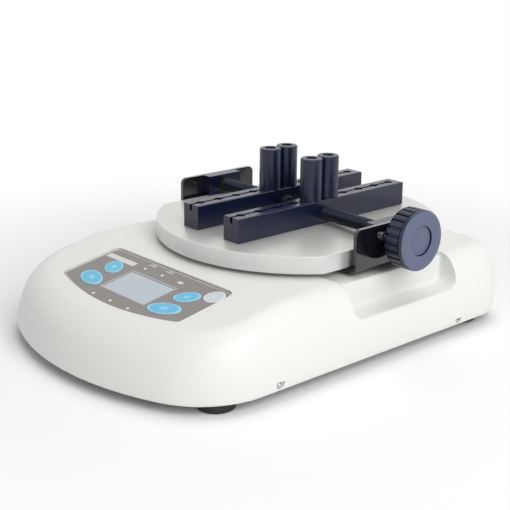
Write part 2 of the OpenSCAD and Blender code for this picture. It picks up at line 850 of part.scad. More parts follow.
module dc_jack() {
    body_y = base_edge_y - base_t - free_gap - jack_size[1];
    nose_y = base_edge_y + jack_nose_l;
    color([0.10, 0.10, 0.11]) {
        difference() {
            union() {
                translate([jack_x - jack_size[0] / 2, body_y, main_top_z]) cube(jack_size);
                translate([jack_x, body_y + join, port_z]) rotate([-90, 0, 0])
                    cylinder(d = jack_nose_d, h = nose_y - body_y - join);
            }
            translate([jack_x, nose_y - jack_bore_l, port_z]) rotate([-90, 0, 0])
                cylinder(d = jack_bore_d, h = jack_bore_l + cut);
        }
        translate([jack_x, nose_y - jack_bore_l - join, port_z]) rotate([-90, 0, 0])
            cylinder(d = jack_pin_d, h = jack_bore_l + join - jack_back);
    }
}

module data_port() {
    body_y = base_edge_y - base_t - free_gap - data_size[1];
    face_y = base_edge_y + data_shell_l;
    color(steel_colour) difference() {
        union() {
            translate([data_x - data_size[0] / 2, body_y, main_top_z]) cube(data_size);
            translate([
                data_x - data_shell[0] / 2,
                body_y + join,
                port_z - data_shell[1] / 2
            ]) cube([data_shell[0], face_y - body_y - join, data_shell[1]]);
        }
        for (row = [0, 1]) for (i = [0:4 - row])
            translate([
                data_x + (i - 2 + row / 2) * data_pin_pitch,
                face_y - data_pin_depth,
                port_z + (1 / 2 - row) * data_pin_pitch
            ]) rotate([-90, 0, 0]) cylinder(d = data_pin_d, h = data_pin_depth + cut);
    }
}

module battery_tray() {
    color(dark_colour) translate([0, tray_mid_y, base_top_z]) difference() {
        translate([-tray_w / 2, -tray_l / 2, 0]) cube([tray_w, tray_l, tray_h]);
        translate([-tray_w / 2 + tray_wall, -tray_l / 2 + tray_wall, tray_wall])
            cube([tray_w - 2 * tray_wall, tray_l - 2 * tray_wall, tray_h]);
    }
}

module battery_cells() {
    color([0.25, 0.45, 0.30]) for (i = [0:cell_count - 1])
        translate([
            -(aa_l + aa_nub_h) / 2,
            tray_mid_y + (i - (cell_count - 1) / 2) * aa_pitch,
            base_top_z + tray_wall + aa_d / 2
        ]) rotate([0, 90, 0]) {
            cylinder(d = aa_d, h = aa_l);
            cylinder(d = aa_nub_d, h = aa_l + aa_nub_h);
        }
}

module sensor_pedestal() {
    color(satin_colour) difference() {
        translate([0, 0, base_top_z]) linear_extrude(cell_bottom_z - base_top_z)
            rounded_rect(pedestal_w, pedestal_w, pedestal_r);
        for (x = [-1, 1]) for (y = [-1, 1])
            translate([x * pedestal_screw_x, y * pedestal_screw_x, base_top_z - cut])
                cylinder(d = m4[0] + 2 * thread_fit, h = pedestal_screw_l + cut);
        for (a = [45:90:315]) rotate(a)
            translate([cell_screw_r, 0, cell_bottom_z + cell_flange_h - cell_screw_l - thread_fit])
                cylinder(d = m5[0] + 2 * thread_fit, h = cell_screw_l);
    }
}

module pedestal_screws() {
    color(steel_colour) for (x = [-1, 1]) for (y = [-1, 1])
        translate([x * pedestal_screw_x, y * pedestal_screw_x, base_bottom_z]) rotate([180, 0, 0])
            pan_screw(m4, pedestal_screw_l);
}

module torque_sensor() {
    color(satin_colour) difference() {
        translate([0, 0, cell_bottom_z]) {
            cylinder(d = cell_lower_d, h = cell_flange_h);
            translate([-cell_mid_w / 2, -cell_mid_w / 2, cell_flange_h - join])
                cube([cell_mid_w, cell_mid_w, cell_mid_h + 2 * join]);
            translate([0, 0, cell_flange_h + cell_mid_h])
                cylinder(d = cell_upper_d, h = cell_flange_h);
        }
        for (a = [45:90:315]) rotate(a)
            translate([cell_screw_r, 0, cell_bottom_z - cut])
                cylinder(d = m5[0] + 2 * screw_fit, h = cell_flange_h + 2 * cut);
        for (a = [0:90:270]) rotate(a)
            translate([hub_screw_r, 0, hub_bottom_z - cell_flange_h - cut])
                cylinder(d = m5[0] + 2 * screw_fit, h = cell_flange_h + 2 * cut);
    }
}

module strain_gauges() {
    color(brass_colour) for (a = [0:90:270]) rotate(a)
        translate([-gauge_size[0] / 2, cell_mid_w / 2, cell_mid_z - gauge_size[2] / 2])
            cube(gauge_size);
}

module sensor_screws() {
    color(steel_colour) for (a = [45:90:315]) rotate(a)
        translate([cell_screw_r, 0, cell_bottom_z + cell_flange_h]) pan_screw(m5, cell_screw_l);
}

module sensor_lead() {
    z = cell_mid_z - gauge_size[2] / 2 - lead_drop / 2;
    plug_z = main_top_z + lead_plug[2];
    color(rubber_colour) {
        translate([0, cell_mid_w / 2, z]) rotate([-90, 0, 0])
            cylinder(d = lead_d, h = lead_plug_y - cell_mid_w / 2);
        translate([0, lead_plug_y, z]) sphere(d = lead_d);
        translate([0, lead_plug_y, plug_z]) cylinder(d = lead_d, h = z - plug_z);
    }
}

module display_cable() {
    low_z = base_top_z + free_gap;
    plug_z = main_top_z + cable_plug[2];
    x = cable_x - cable_w / 2;
    color([0.70, 0.70, 0.72]) {
        translate([x, -cable_front, low_z]) cube([cable_w, cable_t, cable_top_z - low_z]);
        translate([x, -cable_front, low_z])
            cube([cable_w, cable_front + cable_back_y, cable_t]);
        translate([x, cable_back_y - cable_t, low_z])
            cube([cable_w, cable_t, plug_z + cable_t - low_z]);
        translate([x, cable_back_y - cable_t, plug_z])
            cube([cable_w, cable_t + free_gap + cable_plug[1], cable_t]);
    }
}

module table_hub() {
    color(satin_colour) difference() {
        translate([0, 0, hub_bottom_z]) cylinder(d = hub_d, h = hub_h);
        for (a = [0:90:270]) rotate(a)
            translate([hub_screw_r, 0, hub_bottom_z - cut])
                cylinder(d = m5[0] + 2 * thread_fit, h = hub_h + 2 * cut);
    }
}

module hub_screws() {
    color(steel_colour) for (a = [0:90:270]) rotate(a)
        translate([hub_screw_r, 0, hub_bottom_z - cell_flange_h]) rotate([180, 0, 0])
            pan_screw(m5, hub_screw_l);
}

module table_disc() {
    color(satin_colour) difference() {
        intersection() {
            union() {
                translate([0, 0, -table_t]) cylinder(d = table_d, h = table_t - table_edge);
                translate([0, 0, -table_edge])
                    cylinder(d1 = table_d, d2 = table_d - 2 * table_edge, h = table_edge);
            }
            cube([table_flat_w, table_d + 2 * cut, 2 * table_t + cut], center = true);
        }
        for (a = [0:90:270]) rotate(a)
            translate([hub_screw_r, 0, -table_t - cut])
                cylinder(
                    d = m5[0] + 2 * thread_fit,
                    h = hub_screw_l - hub_h - cell_flange_h + free_gap + cut
                );
        both_sides() for (y = [-1, 1])
            translate([foot_hole_x, y * foot_hole_y, -table_t - cut])
                cylinder(d = m4[0] + 2 * thread_fit, h = cut + foot_screw_l + free_gap);
    }
}

// Where the end plates' feet are screwed to the table

module end_plate() {
    bend_r = plate_t + bend_in;
    color(dark_colour) difference() {
        union() {
            translate([plate_in_x, 0, 0]) rotate([90, 0, 90]) linear_extrude(plate_t) {
                translate([-plate_w / 2, plate_low_z + bend_r])
                    square([plate_w, plate_h - plate_corner_r - plate_low_z - bend_r]);
                translate([-plate_w / 2 + plate_corner_r, plate_h - plate_corner_r - join])
                    square([plate_w - 2 * plate_corner_r, plate_corner_r + join]);
                for (y = [-1, 1])
                    translate([y * (plate_w / 2 - plate_corner_r), plate_h - plate_corner_r])
                        circle(plate_corner_r);
            }
            translate([plate_x - bend_r, plate_w / 2, plate_low_z + bend_r]) rotate([90, 0, 0])
                linear_extrude(plate_w) intersection() {
                    difference() {
                        circle(bend_r);
                        circle(bend_in);
                    }
                    translate([0, -bend_r]) square(bend_r);
                }
            translate([plate_x - plate_foot, -plate_w / 2, plate_low_z])
                cube([plate_foot - bend_r, plate_w, plate_t]);
        }
        on_screw() translate([0, 0, plate_in_x - cut]) cylinder(d = bush_d, h = plate_t + 2 * cut);
        for (y = [-1, 1]) translate([0, y * block_screw_y, 0]) on_screw()
            translate([0, 0, plate_in_x - cut])
                cylinder(d = m3[0] + 2 * screw_fit, h = plate_t + 2 * cut);
        for (y = [-1, 1])
            translate([foot_hole_x, y * foot_hole_y, plate_low_z]) {
                translate([0, 0, m4[2]]) rotate([180, 0, 0])
                    cylinder(d1 = m4[0] + 2 * screw_fit, d2 = m4[1] + 2 * screw_fit, h = m4[2]);
                translate([0, 0, -cut])
                    cylinder(d = m4[0] + 2 * screw_fit, h = plate_t + 2 * cut);
            }
    }
}

module end_plate_screws() {
    color(steel_colour) both_sides() for (y = [-1, 1])
        translate([foot_hole_x, y * foot_hole_y, plate_low_z + m4[2]]) rotate([180, 0, 0])
            flat_screw(m4, plate_t - m4[2] + foot_screw_l);
}

module bearing_block() {
    color(dark_colour) difference() {
        translate([block_in_x, -block_w / 2, 0]) cube([block_t, block_w, plate_h]);
        on_screw() translate([0, 0, block_in_x - cut]) cylinder(d = bush_d, h = block_t + 2 * cut);
        for (y = [-1, 1]) translate([0, y * block_screw_y, 0]) on_screw()
            translate([0, 0, plate_x - block_screw_l])
                cylinder(d = m3[0] + 2 * thread_fit, h = block_screw_l);
    }
}

module bearing_block_screws() {
    color(steel_colour) both_sides() for (y = [-1, 1])
        translate([0, y * block_screw_y, 0]) on_screw()
            translate([0, 0, plate_x]) pan_screw(m3, block_screw_l);
}

module screw_bushes() {
    color(brass_colour) both_sides() on_screw() translate([0, 0, block_in_x]) difference() {
        cylinder(d = bush_d, h = plate_x - block_in_x);
        translate([0, 0, -cut])
            cylinder(d = journal_d + 2 * running_fit, h = plate_x - block_in_x + 2 * cut);
    }
}

// One half of the screw, right-handed on one side and left-handed on the other
module thread_half() {
    start = screw_mid / 2;
    turns = floor((screw_end_x - screw_shoulder - start) / thread_lead);
    crest = screw_d / 2;
    root = crest - thread_depth;
    rise = (1 - thread_crest_share) / 2;
    side = [
        for (i = [0:turns - 1])
            let (z = start + i * thread_lead)
            each [
                [root, z], [crest, z + rise * thread_lead],
                [crest, z + (1 - rise) * thread_lead]
            ]
    ];
    end = start + turns * thread_lead;
    rotate_extrude() polygon(concat(
        [[0, 0], [crest, 0], [crest, start - join]], side,
        [[root, end], [crest, end + join], [crest, screw_end_x], [0, screw_end_x]]
    ));
}

module lead_screw() {
    left_x = plate_x + bearing_gap + collar_w;
    color(steel_colour) on_screw() {
        thread_half();
        mirror([0, 0, 1]) thread_half();
        translate([0, 0, -left_x]) cylinder(d = journal_d, h = left_x);
        cylinder(d = journal_d, h = knob_back_x + shaft_in_knob);
    }
}

module knob() {
    r = knob_d / 2;
    flute_end = knob_face_x - knob_rim - knob_back_x;
    face = [
        for (i = [0:edge_steps])
            let (a = 90 * i / edge_steps)
            [r - knob_edge + knob_edge * cos(a), knob_t - knob_edge + knob_edge * sin(a)]
    ];
    profile = concat(
        [
            [0, 0], [r - knob_groove, 0], [r, knob_groove], [r, flute_end],
            [r - knob_groove, flute_end], [r - knob_groove, flute_end + knob_groove],
            [r, flute_end + knob_groove]
        ],
        face, [[0, knob_t]]
    );
    color(dark_colour) on_screw() difference() {
        union() {
            translate([0, 0, knob_back_x]) rotate_extrude() polygon(profile);
            translate([0, 0, plate_x + bearing_gap])
                cylinder(d = knob_hub_d, h = knob_back_x + join - plate_x - bearing_gap);
        }
        for (i = [0:flute_count - 1]) rotate(360 * i / flute_count)
            translate([r - flute_depth, -flute_w / 2, knob_back_x - cut])
                cube([flute_depth + cut, flute_w, flute_end + cut]);
        translate([0, 0, knob_face_x - cap_recess - cap_t])
            cylinder(d = cap_d + 2 * cap_fit, h = cap_recess + cap_t + cut);
        translate([0, 0, plate_x])
            cylinder(d = journal_d, h = knob_back_x + shaft_in_knob - plate_x);
        translate([0, 0, grub_x]) rotate([0, -90, 0])
            cylinder(d = grub_d + 2 * thread_fit, h = knob_hub_d);
    }
}

module knob_grub_screw() {
    color(steel_colour) translate([grub_x, 0, screw_z + journal_d / 2]) difference() {
        cylinder(d = grub_d, h = grub_l);
        translate([0, 0, grub_l * (1 - driver_depth_share)])
            cylinder(d = grub_d * driver_share, h = grub_l, $fn = hex_sides);
    }
}

module knob_cap() {
    color(dark_colour) on_screw() translate([0, 0, knob_face_x - cap_recess - cap_t])
        cylinder(d = cap_d, h = cap_t);
}

module shaft_collar() {
    color(steel_colour) on_screw() translate([0, 0, -plate_x - bearing_gap - collar_w])
        difference() {
            cylinder(d = collar_d, h = collar_w);
            translate([0, 0, -cut]) cylinder(d = journal_d, h = collar_w + 2 * cut);
        }
}

// Bar with post holes, a slot along its top that is open at the front, and the screw's bore
module jaw() {
    last = bar_l / 2 - hole_pitch / 2;
    w = bar_w / 2;
    section = [
        [-w, bar_bottom_z], [w, bar_bottom_z], [w, bar_top_z - bar_edge],
        [w - bar_edge, bar_top_z], [bar_edge - w, bar_top_z], [-w, bar_top_z - bar_edge]
    ];
    color(dark_colour) difference() {
        translate([0, bar_l / 2, 0]) rotate([90, 0, 0]) linear_extrude(bar_l) polygon(section);
        for (i = [0:hole_count - 1])
            translate([0, i * hole_pitch - last, bar_top_z - hole_depth])
                cylinder(d = hole_d, h = hole_depth + cut);
        translate([-slot_w / 2, -bar_l / 2 - cut, bar_top_z - slot_depth])
            cube([slot_w, bar_l / 2 + cut + last, slot_depth + cut]);
        translate([0, 0, screw_z]) rotate([0, 90, 0])
            cylinder(d = screw_d + 2 * running_fit, h = bar_w + 2 * cut, center = true);
    }
}

module at_jaw(side) {
    translate([side * jaw_x, 0, 0]) children();
}

module at_post(side, row) {
    translate([side * jaw_x, row * hole_pitch / 2, bar_top_z]) children();
}

module post_sleeve() {
    r = post_d / 2;
    color(rubber_colour) difference() {
        rotate_extrude() polygon([
            [0, 0], [r, 0], [r, post_h - post_edge], [r - post_edge, post_h], [0, post_h]
        ]);
        translate([0, 0, -cut]) cylinder(d = core_d, h = post_h + 2 * cut);
    }
}

module post_core() {
    pin_l = hole_depth - pin_short;
    color(steel_colour) {
        cylinder(d = core_d, h = post_h - core_recess);
        translate([0, 0, -pin_l]) cylinder(d = hole_d - 2 * running_fit, h = pin_l + join);
    }
}

cover();
base_plate();
cover_screws();
foot(foot_places[0]);  // foot_front_left
foot(foot_places[1]);  // foot_front_right
foot(foot_places[2]);  // foot_rear_left
foot(foot_places[3]);  // foot_rear_right
foot_screws();
panel_overlay();
display_window();
indicator_lights();
lcd_module();
display_board();
display_board_screws();
key_switches();
main_board();
main_board_parts();
main_board_screws();
dc_jack();
data_port();
battery_cells();
battery_tray();
sensor_pedestal();
pedestal_screws();
torque_sensor();
strain_gauges();
sensor_screws();
sensor_lead();
display_cable();
key(keys[0], key_colour);  // key_front_left
key(keys[1], key_colour);  // key_front_right
key(keys[2], key_colour);  // key_rear_left
key(keys[3], key_colour);  // key_rear_right
key(keys[4], power_colour);  // key_power
table_hub();
hub_screws();
table_disc();
end_plate();  // end_plate_right
mirror([1, 0, 0]) end_plate();  // end_plate_left
end_plate_screws();
bearing_block();  // bearing_block_right
mirror([1, 0, 0]) bearing_block();  // bearing_block_left
bearing_block_screws();
screw_bushes();
lead_screw();
knob();
knob_cap();
knob_grub_screw();
shaft_collar();
at_jaw(1) jaw();  // jaw_right
at_jaw(-1) jaw();  // jaw_left
at_post(1, -1) post_sleeve();  // post_sleeve_right_front
at_post(1, 1) post_sleeve();  // post_sleeve_right_rear
at_post(-1, -1) post_sleeve();  // post_sleeve_left_front
at_post(-1, 1) post_sleeve();  // post_sleeve_left_rear
at_post(1, -1) post_core();  // post_core_right_front
at_post(1, 1) post_core();  // post_core_right_rear
at_post(-1, -1) post_core();  // post_core_left_front
at_post(-1, 1) post_core();  // post_core_left_rear
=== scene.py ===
"""Looks of the bench torque tester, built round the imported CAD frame.

Lengths are written in millimetres, as on the CAD side, and turned into metres by MM.
"""

import json
import math

import bmesh
import bpy
import numpy as np
from mathutils import Matrix, Vector


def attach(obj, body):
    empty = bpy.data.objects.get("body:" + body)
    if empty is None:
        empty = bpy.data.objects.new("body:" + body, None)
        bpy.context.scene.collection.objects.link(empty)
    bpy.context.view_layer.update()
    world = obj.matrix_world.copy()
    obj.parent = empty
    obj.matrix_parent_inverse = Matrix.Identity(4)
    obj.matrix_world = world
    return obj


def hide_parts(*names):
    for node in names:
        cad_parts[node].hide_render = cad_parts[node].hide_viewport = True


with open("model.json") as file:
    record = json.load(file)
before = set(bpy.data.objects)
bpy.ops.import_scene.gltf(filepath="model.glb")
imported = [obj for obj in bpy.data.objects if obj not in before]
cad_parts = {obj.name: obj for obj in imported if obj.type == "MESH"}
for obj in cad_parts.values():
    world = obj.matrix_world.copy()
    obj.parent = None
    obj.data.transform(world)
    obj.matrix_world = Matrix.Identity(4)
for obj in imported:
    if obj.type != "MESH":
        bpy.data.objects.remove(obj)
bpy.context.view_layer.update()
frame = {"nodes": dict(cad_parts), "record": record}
MM = 0.001

# Body: outline, levels and wall
HALF_W = 102.75
BODY_FRONT = 184.0
BODY_REAR = 100.5
COVER_TOP = -13.5
COVER_BOTTOM = -59.8
FLOOR_Z = -66.0
FRONT_ARC_R = 182.0
FRONT_CORNER_R = 51.0
REAR_CORNER_R = 29.5
WALL_LEAN = 4.4
SHOULDER_START = math.radians(27)
SHOULDER_R = 14.2
FRONT_SHOULDER_R = 20.0
WALL_T = 3.2
SLOPE_START = 93.0
SLOPE_BLEND = 14.0
PANEL_TILT = math.radians(10.5)
SLOPE = math.tan(PANEL_TILT)

# Holes of the body: CUT is how far a cutting piece reaches past the wall
CUT = 8.0
HUB_HOLE_R = 31.0
COVER_SCREW_ROWS = [-110.0, 45.0]
COVER_SCREW_Z = -54.7
SEAT_D = 6.0
SEAT_DEPTH = 1.2
PORT_W = 70.0
PORT_H = 15.0
PORT_Z = -44.7
PORT_LAP = 2.0

# Side pockets
POCKET_L = 94.0
POCKET_MID = -3.0
POCKET_X = 86.5
POCKET_FLOOR = -33.3
POCKET_R = 7.0
LEDGE_X = 60.0
LEDGE_DEPTH = 3.0
LEDGE_LAP = 1.0

# Panel
PANEL_MID = 130.0
PANEL_W = 116.0
PANEL_BACK = 26.7
PANEL_SIDE_FRONT = 15.0
PANEL_NOSE = 25.3
PANEL_CORNER_R = 5.0
PANEL_FRONT_CORNER_R = 3.0
PANEL_DEPTH = 1.3
PANEL_FIT = 0.15
OVERLAY_T = 0.8
PANEL_SAG = PANEL_NOSE - PANEL_SIDE_FRONT
PANEL_ARC_R = ((PANEL_W / 2) ** 2 + PANEL_SAG ** 2) / (2 * PANEL_SAG)
PANEL_Z = COVER_TOP - SLOPE * (PANEL_MID - SLOPE_START) - PANEL_DEPTH / math.cos(PANEL_TILT)
ON_PANEL = Matrix.Translation(Vector((0, -PANEL_MID, PANEL_Z)) * MM) @ Matrix.Rotation(PANEL_TILT, 4, "X")
DISPLAY = (42.2, 22.8)
LIGHT_D = 2.0
LIGHT_PLACES = [(-17.2, -20.2), (0, -20.2), (17.2, -20.2), (-17.2, 18.2), (0, 18.2)]
HOLE_FIT = 0.3
KEY_FIT = 0.25
# Each key: node, place, length, width and turn in degrees
KEYS = [
    ("key_front_left", (-36.3, -8.35), 22.8, 12.4, -16.3),
    ("key_front_right", (36.3, -8.35), 22.8, 12.4, 16.3),
    ("key_rear_left", (-36.3, 8.35), 16.9, 11.8, -35.4),
    ("key_rear_right", (36.3, 8.35), 16.9, 11.8, 35.4),
    ("key_power", (50.2, 17.6), 13.2, 13.2, 0),
]

# Thin trim on the panel: how far it stands up, its pale line and rim
TRIM_T = 0.08
LINE_INSET = 0.7
LINE_W = 0.5
RIM_W = 0.9
# Bars, marks and oval as (x, y, length, width)
LABEL_BARS = [(-41.2, 17.9, 28.5, 4.4)]
MARKS = [(-15.8, 23.1, 6.9, 0.7), (1.1, 23.1, 7.0, 0.7), (-15.8, 24.6, 4.2, 0.5), (1.1, 24.6, 4.4, 0.5)]
OVAL = (17.7, 18.2, 5.3, 2.5)

# Table: its edge is rounded through points (depth below the top, inset), in shares of TABLE_EDGE
TABLE_R = 93.0
TABLE_T = 11.0
TABLE_FLAT = 77.5
TABLE_EDGE = 0.6
TABLE_EDGE_SHARES = [(1, 0), (0.45, 0.12), (0.12, 0.45), (0, 1)]
# A face counts as the rim's where its normal rises less than this
RIM_FACING = 0.3

# Rounded edges on CAD nodes, for the look only
SOFT_EDGES = {
    "jaw_right": 0.35,
    "jaw_left": 0.35,
    "end_plate_right": 0.35,
    "end_plate_left": 0.35,
    "bearing_block_right": 0.5,
    "bearing_block_left": 0.5,
}
SOFT_EDGE_SEGMENTS = 2
SOFT_EDGE_ANGLE = math.radians(35)

# Screw: a higher THREAD_SLOPE gives steeper flanks and a higher THREAD_ROOT a wider root,
# and the thread runs out over the two runout lengths at its middle and its ends
SCREW_Z = 6.5
SCREW_R = 4.5
THREAD_DEPTH = 0.9
THREAD_LEAD = 2.0
THREAD_SLOPE = 2.6
THREAD_ROOT = 0.5
MID_RUNOUT = 1.5
END_RUNOUT = 1.0
JOURNAL_R = 3.5
JOURNAL_IN_KNOB = 8
SCREW_MID = 8.0
SCREW_END = 74.4
SCREW_LEFT = 88.5

# Knob: STEP_L is the length over which a square step is drawn
STEP_L = 0.05
KNOB_R = 18.7
KNOB_T = 13.4
KNOB_FACE_X = 107.3
KNOB_BACK_X = KNOB_FACE_X - KNOB_T
KNOB_HUB_R = 6.0
KNOB_HUB_L = 9.4
KNOB_RIM = 2.6
KNOB_GROOVE = 0.5
KNOB_GROOVE_DEPTH = 0.5
KNOB_EDGE = 1.2
KNOB_EDGE_TURNS = (0, 0.3, 0.6, 0.9, 1.2, math.pi / 2)
KNOB_BACK_EDGE = 0.6
KNOB_BACK_TURNS = (0.4, 0.8, 1.2, math.pi / 2)
KNOB_FACE_EDGE = 0.35
# A face counts as the knob's front where its normal points out more than this
FRONT_FACING = 0.5
FLUTES = 24
FLUTE_DEPTH = 1.0
FLUTE_W = 1.2
FLUTE_SKIN = 0.7
FLUTE_START = 0.1
FLUTE_REACH = 0.01
FLUTE_RUNOUT = 1.6
FLUTE_WALL_SHARE = 0.07
RIB_CROWN = 0.28
CAP_R = 9.2
CAP_GAP = 0.15
CAP_RECESS = 1.0
CAP_T = 2.0
CAP_EDGE = 0.4
CAP_POLE_R = 0.01

# Grain of every finish; the same noise also draws the painted highlight bands on the table's rim, the
# painted sheen on the black alloy and the painted reflection on the display
NOISE_DETAIL = 4.0
LEAST_ROUGH = 0.02
BUMP_HEIGHT = 0.2

# Key caps: where the mark ends and the rim begins, in shares of the half width, and the rim's strength
MARK_R = 0.22
MARK_END = 0.32
RIM_START = 0.78
RIM_FULL = 0.92
RIM_STRENGTH = 0.8
# Colour of the cap, colour of its rim, and strength of its mark
BLUE_KEY = ((92, 184, 220), (172, 214, 232), 0.6)
POWER_KEY = ((200, 209, 216), (226, 230, 232), 0.25)

# Light levels, as shares of the plain level
WORLD_LEVEL = 0.40
# Each lamp: name, place and size in metres, and level
LAMPS = [
    ("key_lamp", (1.5, -0.25, 1.1), 1.3, 0.68),
    ("top_lamp", (-0.2, 0.4, 1.9), 1.4, 0.25),
    ("front_lamp", (-0.7, -1.7, 1.0), 1.2, 0.03),
]
# The floor is plain near the part and turns into the white background between these distances
FLOOR_NEAR = 190.0
FLOOR_FAR = 420.0
FLOOR_SIZE = 12000.0
FLOOR_GREY = 0.95

# Fineness of the meshes made here
VOXEL = 1.0
SOFTEN = 4
SOFTEN_FACTOR = 0.5
BODY_SIDE_STEP = 3.5
BODY_STEPS = (48, 40, 28)
PANEL_SIDE_STEP = 10.0
PANEL_STEPS = (40, 10, 12)
SHELL_STEPS = (18, 14)
POCKET_STEPS = 8
ROUND_STEPS = 96
SEAT_STEPS = 32
LIGHT_STEPS = 24
OVAL_STEPS = 32
TABLE_STEPS = 90
THREAD_STEPS = 12
SCREW_STEPS = 40
KNOB_STEPS = 20
KNOB_LENGTH_STEPS = 14

# Camera, in the photograph's pixels and millimetres
PHOTO_PX = 510
SENSOR = 36.0
FOCAL_PX = 1130.06
CENTRE_PX = (297.71, 214.40)
CAMERA_AT = (520.7, -501.7, 201.1)
CLIP_START = 10.0
AZIMUTH = math.radians(46.060)
ELEVATION = math.radians(15.543)
ROLL = math.radians(1.225)


# Meshes

def add_mesh(name, verts, faces, matrix=None):
    """Object from points in millimetres."""
    mesh = bpy.data.meshes.new(name)
    mesh.from_pydata([tuple(float(c) * MM for c in v) for v in verts], [], [list(f) for f in faces])
    mesh.validate()
    mesh.update()
    obj = bpy.data.objects.new(name, mesh)
    bpy.context.scene.collection.objects.link(obj)
    if matrix is not None:
        obj.data.transform(matrix)
    return obj


def smooth(obj, angle=40):
    obj.data.polygons.foreach_set("use_smooth", [True] * len(obj.data.polygons))
    obj.data.set_sharp_from_angle(angle=math.radians(angle))


def tidy_normals(obj):
    bm = bmesh.new()
    bm.from_mesh(obj.data)
    bmesh.ops.recalc_face_normals(bm, faces=bm.faces)
    bm.to_mesh(obj.data)
    bm.free()


def bake(obj):
    """Keeps what the modifiers give as the object's own mesh."""
    seen = obj.evaluated_get(bpy.context.evaluated_depsgraph_get())
    mesh = bpy.data.meshes.new_from_object(seen)
    obj.modifiers.clear()
    obj.data = mesh


def cut(obj, tools):
    """Takes the tools away from the object and deletes them."""
    for tool in tools:
        mod = obj.modifiers.new("cut", "BOOLEAN")
        mod.operation = "DIFFERENCE"
        mod.solver = "EXACT"
        mod.object = tool
    bake(obj)
    for tool in tools:
        bpy.data.objects.remove(tool, do_unlink=True)


def prism(name, outline, z0, z1, matrix=None):
    """Straight piece over an outline, between two levels."""
    n = len(outline)
    verts = [(x, y, z0) for x, y in outline] + [(x, y, z1) for x, y in outline]
    faces = [list(range(n - 1, -1, -1)), list(range(n, 2 * n))]
    faces += [(i, (i + 1) % n, n + (i + 1) % n, n + i) for i in range(n)]
    return add_mesh(name, verts, faces, matrix)


def block(name, low, high):
    outline = [(low[0], low[1]), (high[0], low[1]), (high[0], high[1]), (low[0], high[1])]
    return prism(name, outline, low[2], high[2])


def ellipse(x, y, length, width, turn=0.0, steps=ROUND_STEPS):
    c, s = math.cos(math.radians(turn)), math.sin(math.radians(turn))
    points = []
    for i in range(steps):
        a = 2 * math.pi * i / steps
        u, v = length / 2 * math.cos(a), width / 2 * math.sin(a)
        points.append((x + u * c - v * s, y + u * s + v * c))
    return points


def rectangle(x, y, length, width):
    a, b = length / 2, width / 2
    return [(x - a, y - b), (x + a, y - b), (x + a, y + b), (x - a, y + b)]


def frame_ring(name, outer, inner, z0, z1, matrix=None):
    """Flat ring between two outlines of as many points."""
    n = len(outer)
    verts = [(x, y, z) for z in (z0, z1) for ring in (outer, inner) for x, y in ring]
    faces = []
    for i in range(n):
        j = (i + 1) % n
        faces += [(i, j, 2 * n + j, 2 * n + i), (n + j, n + i, 3 * n + i, 3 * n + j),
                  (2 * n + i, 2 * n + j, 3 * n + j, 3 * n + i), (j, i, n + i, n + j)]
    return add_mesh(name, verts, faces, matrix)


def grid(name, rows):
    """Closed tube from rings of as many points."""
    n = len(rows[0])
    verts = [p for row in rows for p in row]
    faces = []
    for k in range(len(rows) - 1):
        for i in range(n):
            j = (i + 1) % n
            faces.append((k * n + i, k * n + j, (k + 1) * n + j, (k + 1) * n + i))
    faces.append(list(range(n - 1, -1, -1)))
    faces.append(list(range((len(rows) - 1) * n, len(rows) * n)))
    obj = add_mesh(name, verts, faces)
    tidy_normals(obj)
    return obj


def along_screw(stations, radius, steps):
    """Rings round the screw's axis: radius(x, angle, r) at each station (x, r)."""
    rows = []
    for x, r in stations:
        row = []
        for i in range(steps):
            a = 2 * math.pi * i / steps
            rr = radius(x, a, r)
            row.append((x, rr * math.cos(a), SCREW_Z + rr * math.sin(a)))
        rows.append(row)
    return rows


# Body

def arc(cx, cy, r, a0, a1, steps, first=True):
    """Points of an arc, each with the direction that faces outwards there."""
    out = []
    for i in range(0 if first else 1, steps + 1):
        a = a0 + (a1 - a0) * i / steps
        out.append((cx + r * math.cos(a), cy + r * math.sin(a), math.cos(a), math.sin(a)))
    return out


def half_outline(half_w, front, rear, front_r, corner_r, rear_r, side_step, steps):
    """Right half of an outline: front arc, front corner, straight side and rear corner."""
    fc_y = front_r - front
    cc_x = half_w - corner_r
    cc_y = fc_y - math.sqrt((front_r - corner_r) ** 2 - cc_x ** 2)
    turn = math.atan2(cc_y - fc_y, cc_x)
    points = arc(0, fc_y, front_r, -math.pi / 2, turn, steps[0])
    points += arc(cc_x, cc_y, corner_r, turn, 0, steps[1], first=False)
    end = rear - rear_r
    count = max(1, round((end - cc_y) / side_step))
    for i in range(1, count):
        points.append((half_w, cc_y + (end - cc_y) * i / count, 1.0, 0.0))
    points += arc(half_w - rear_r, end, rear_r, 0, math.pi / 2, steps[2])
    return points


def whole(half, grow):
    """Closed outline from half of it, grown all round."""
    right = [(x + grow * u, y + grow * v) for x, y, u, v in half]
    return right + [(-x, y) for x, y in reversed(right[1:])]


def top_z(y):
    """Level of the body's top, which slopes down towards the front."""
    u = -y - SLOPE_START
    b = SLOPE_BLEND / 2
    if u < -b:
        return COVER_TOP
    return COVER_TOP - SLOPE * (u if u > b else (u + b) ** 2 / (4 * b))


def shell_point(point, step, wall):
    """Point of the body's skin, up the bowed wall and over the shoulder, wall deep inside."""
    x, y, u, v = point
    walls, shoulders = SHELL_STEPS
    k = min(1.0, step / walls)
    outer_r = SHOULDER_R + (FRONT_SHOULDER_R - SHOULDER_R) * max(0.0, -v)
    r = outer_r - wall
    share = max(0.0, step - walls) / shoulders
    turn = SHOULDER_START + (math.pi / 2 - SHOULDER_START) * share
    rise = top_z(y) - outer_r * (1 - math.sin(SHOULDER_START)) - COVER_BOTTOM
    bow = (rise * math.tan(SHOULDER_START) - WALL_LEAN) * k * (1 - k)
    inset = wall + WALL_LEAN * k - bow + r * (math.cos(SHOULDER_START) - math.cos(turn))
    ax, ay = x - inset * u, y - inset * v
    low = COVER_BOTTOM - (CUT if wall else 0)
    high = top_z(ay) - wall - r * (1 - math.sin(turn))
    return ax, ay, low + k * (high - low)


